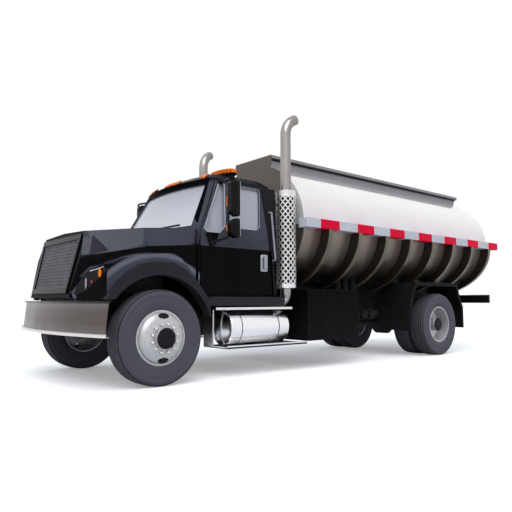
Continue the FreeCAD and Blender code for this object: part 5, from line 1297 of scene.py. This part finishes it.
def onScreen(y, z, out):
    # point just off the windscreen's outer face
    point, normal = nodes["cab_glass"].ray_cast(Vector((frontAxle.x, y, z)), Vector((-1, 0, 0)))[1:3]
    return point + normal * out


def makeWipers():
    # two wipers parked along the foot of the windscreen
    v = wiperValues
    parts = []
    for (y0, z0, y1, z1), (pivotY, pivotZ) in zip(v["blades"], v["pivots"]):
        blade = ((y0, z0), (y1, z1), (y1, z1 + v["wide"]), (y0, z0 + v["wide"]))
        corners = [onScreen(y, z, v["bladeOut"]) for y, z in blade]
        parts.append(applyAll(outlinePlate("wiperBlade", corners, v["thick"])))
        endY, endZ = (y0 + y1) / 2, (z0 + z1) / 2 + v["wide"] / 2
        near, far = v["armOut"]
        arm = ((pivotY - v["arm"], pivotZ, near), (pivotY + v["arm"], pivotZ, near),
               (endY + v["arm"] / 2, endZ, far), (endY - v["arm"] / 2, endZ, far))
        corners = [onScreen(*corner) for corner in arm]
        parts.append(applyAll(outlinePlate("wiperArm", corners, v["thick"] / 2)))
    wipers = joinPieces(parts, "wipers")
    evenNormals(wipers)
    settle(wipers, "root", "sealBlack")


makeTailLamps()
makeWipers()
print("trim made")


# floor and light
stageValues = {"size": 120, "floor": 0.42, "glow": 0.28, "world": 0.62, "sun": 1.7, "sunTurn": (38, 0, 140),
               "sunAngle": 50, "low": (0.96, 0.97, 1.0), "high": (0.80, 0.86, 1.0), "rise": (-0.05, 0.6),
               "white": (1.0, 1.0, 1.0)}


def shownRays(tree):
    # camera, mirror and glass rays all meet the white background
    path = addNode(tree, "ShaderNodeLightPath").outputs
    both = compute(tree, "MAXIMUM", path["Is Camera Ray"], path["Is Transmission Ray"])
    return compute(tree, "MAXIMUM", both, path["Is Glossy Ray"])


def makeStage():
    v = stageValues
    piece = startPiece("plane", "floor", size=v["size"], location=(0, 0, 0))
    finish, tree, sockets = startFinish("paleFloor")
    sockets["Roughness"].default_value = 0.9
    sockets["Specular IOR Level"].default_value = 0.0
    sockets["Emission Color"].default_value = (*v["white"], 1.0)
    feed(tree, mixColour(tree, shownRays(tree), (v["floor"],) * 3, v["white"]), sockets["Base Color"])
    camera = addNode(tree, "ShaderNodeLightPath").outputs["Is Camera Ray"]
    feed(tree, remap(tree, camera, 0.0, 1.0, 0.0, v["glow"]), sockets["Emission Strength"])
    piece.data.materials.append(finish)
    world = bpy.data.worlds.new("studio")
    bpy.context.scene.world = world
    world.use_nodes = True
    tree = world.node_tree
    back = tree.nodes["Background"].inputs
    rise = remap(tree, axes(tree, coordinates(tree)["Generated"])["Z"], *v["rise"])
    sky = mixColour(tree, rise, v["low"], v["high"])
    feed(tree, mixColour(tree, shownRays(tree), sky, v["white"]), back["Color"])
    feed(tree, remap(tree, shownRays(tree), 0.0, 1.0, v["world"], 1.0), back["Strength"])
    bpy.ops.object.light_add(type="SUN", rotation=[math.radians(turn) for turn in v["sunTurn"]])
    sun = bpy.context.object
    sun.data.energy = v["sun"]
    sun.data.angle = math.radians(v["sunAngle"])


makeStage()
print("stage made")
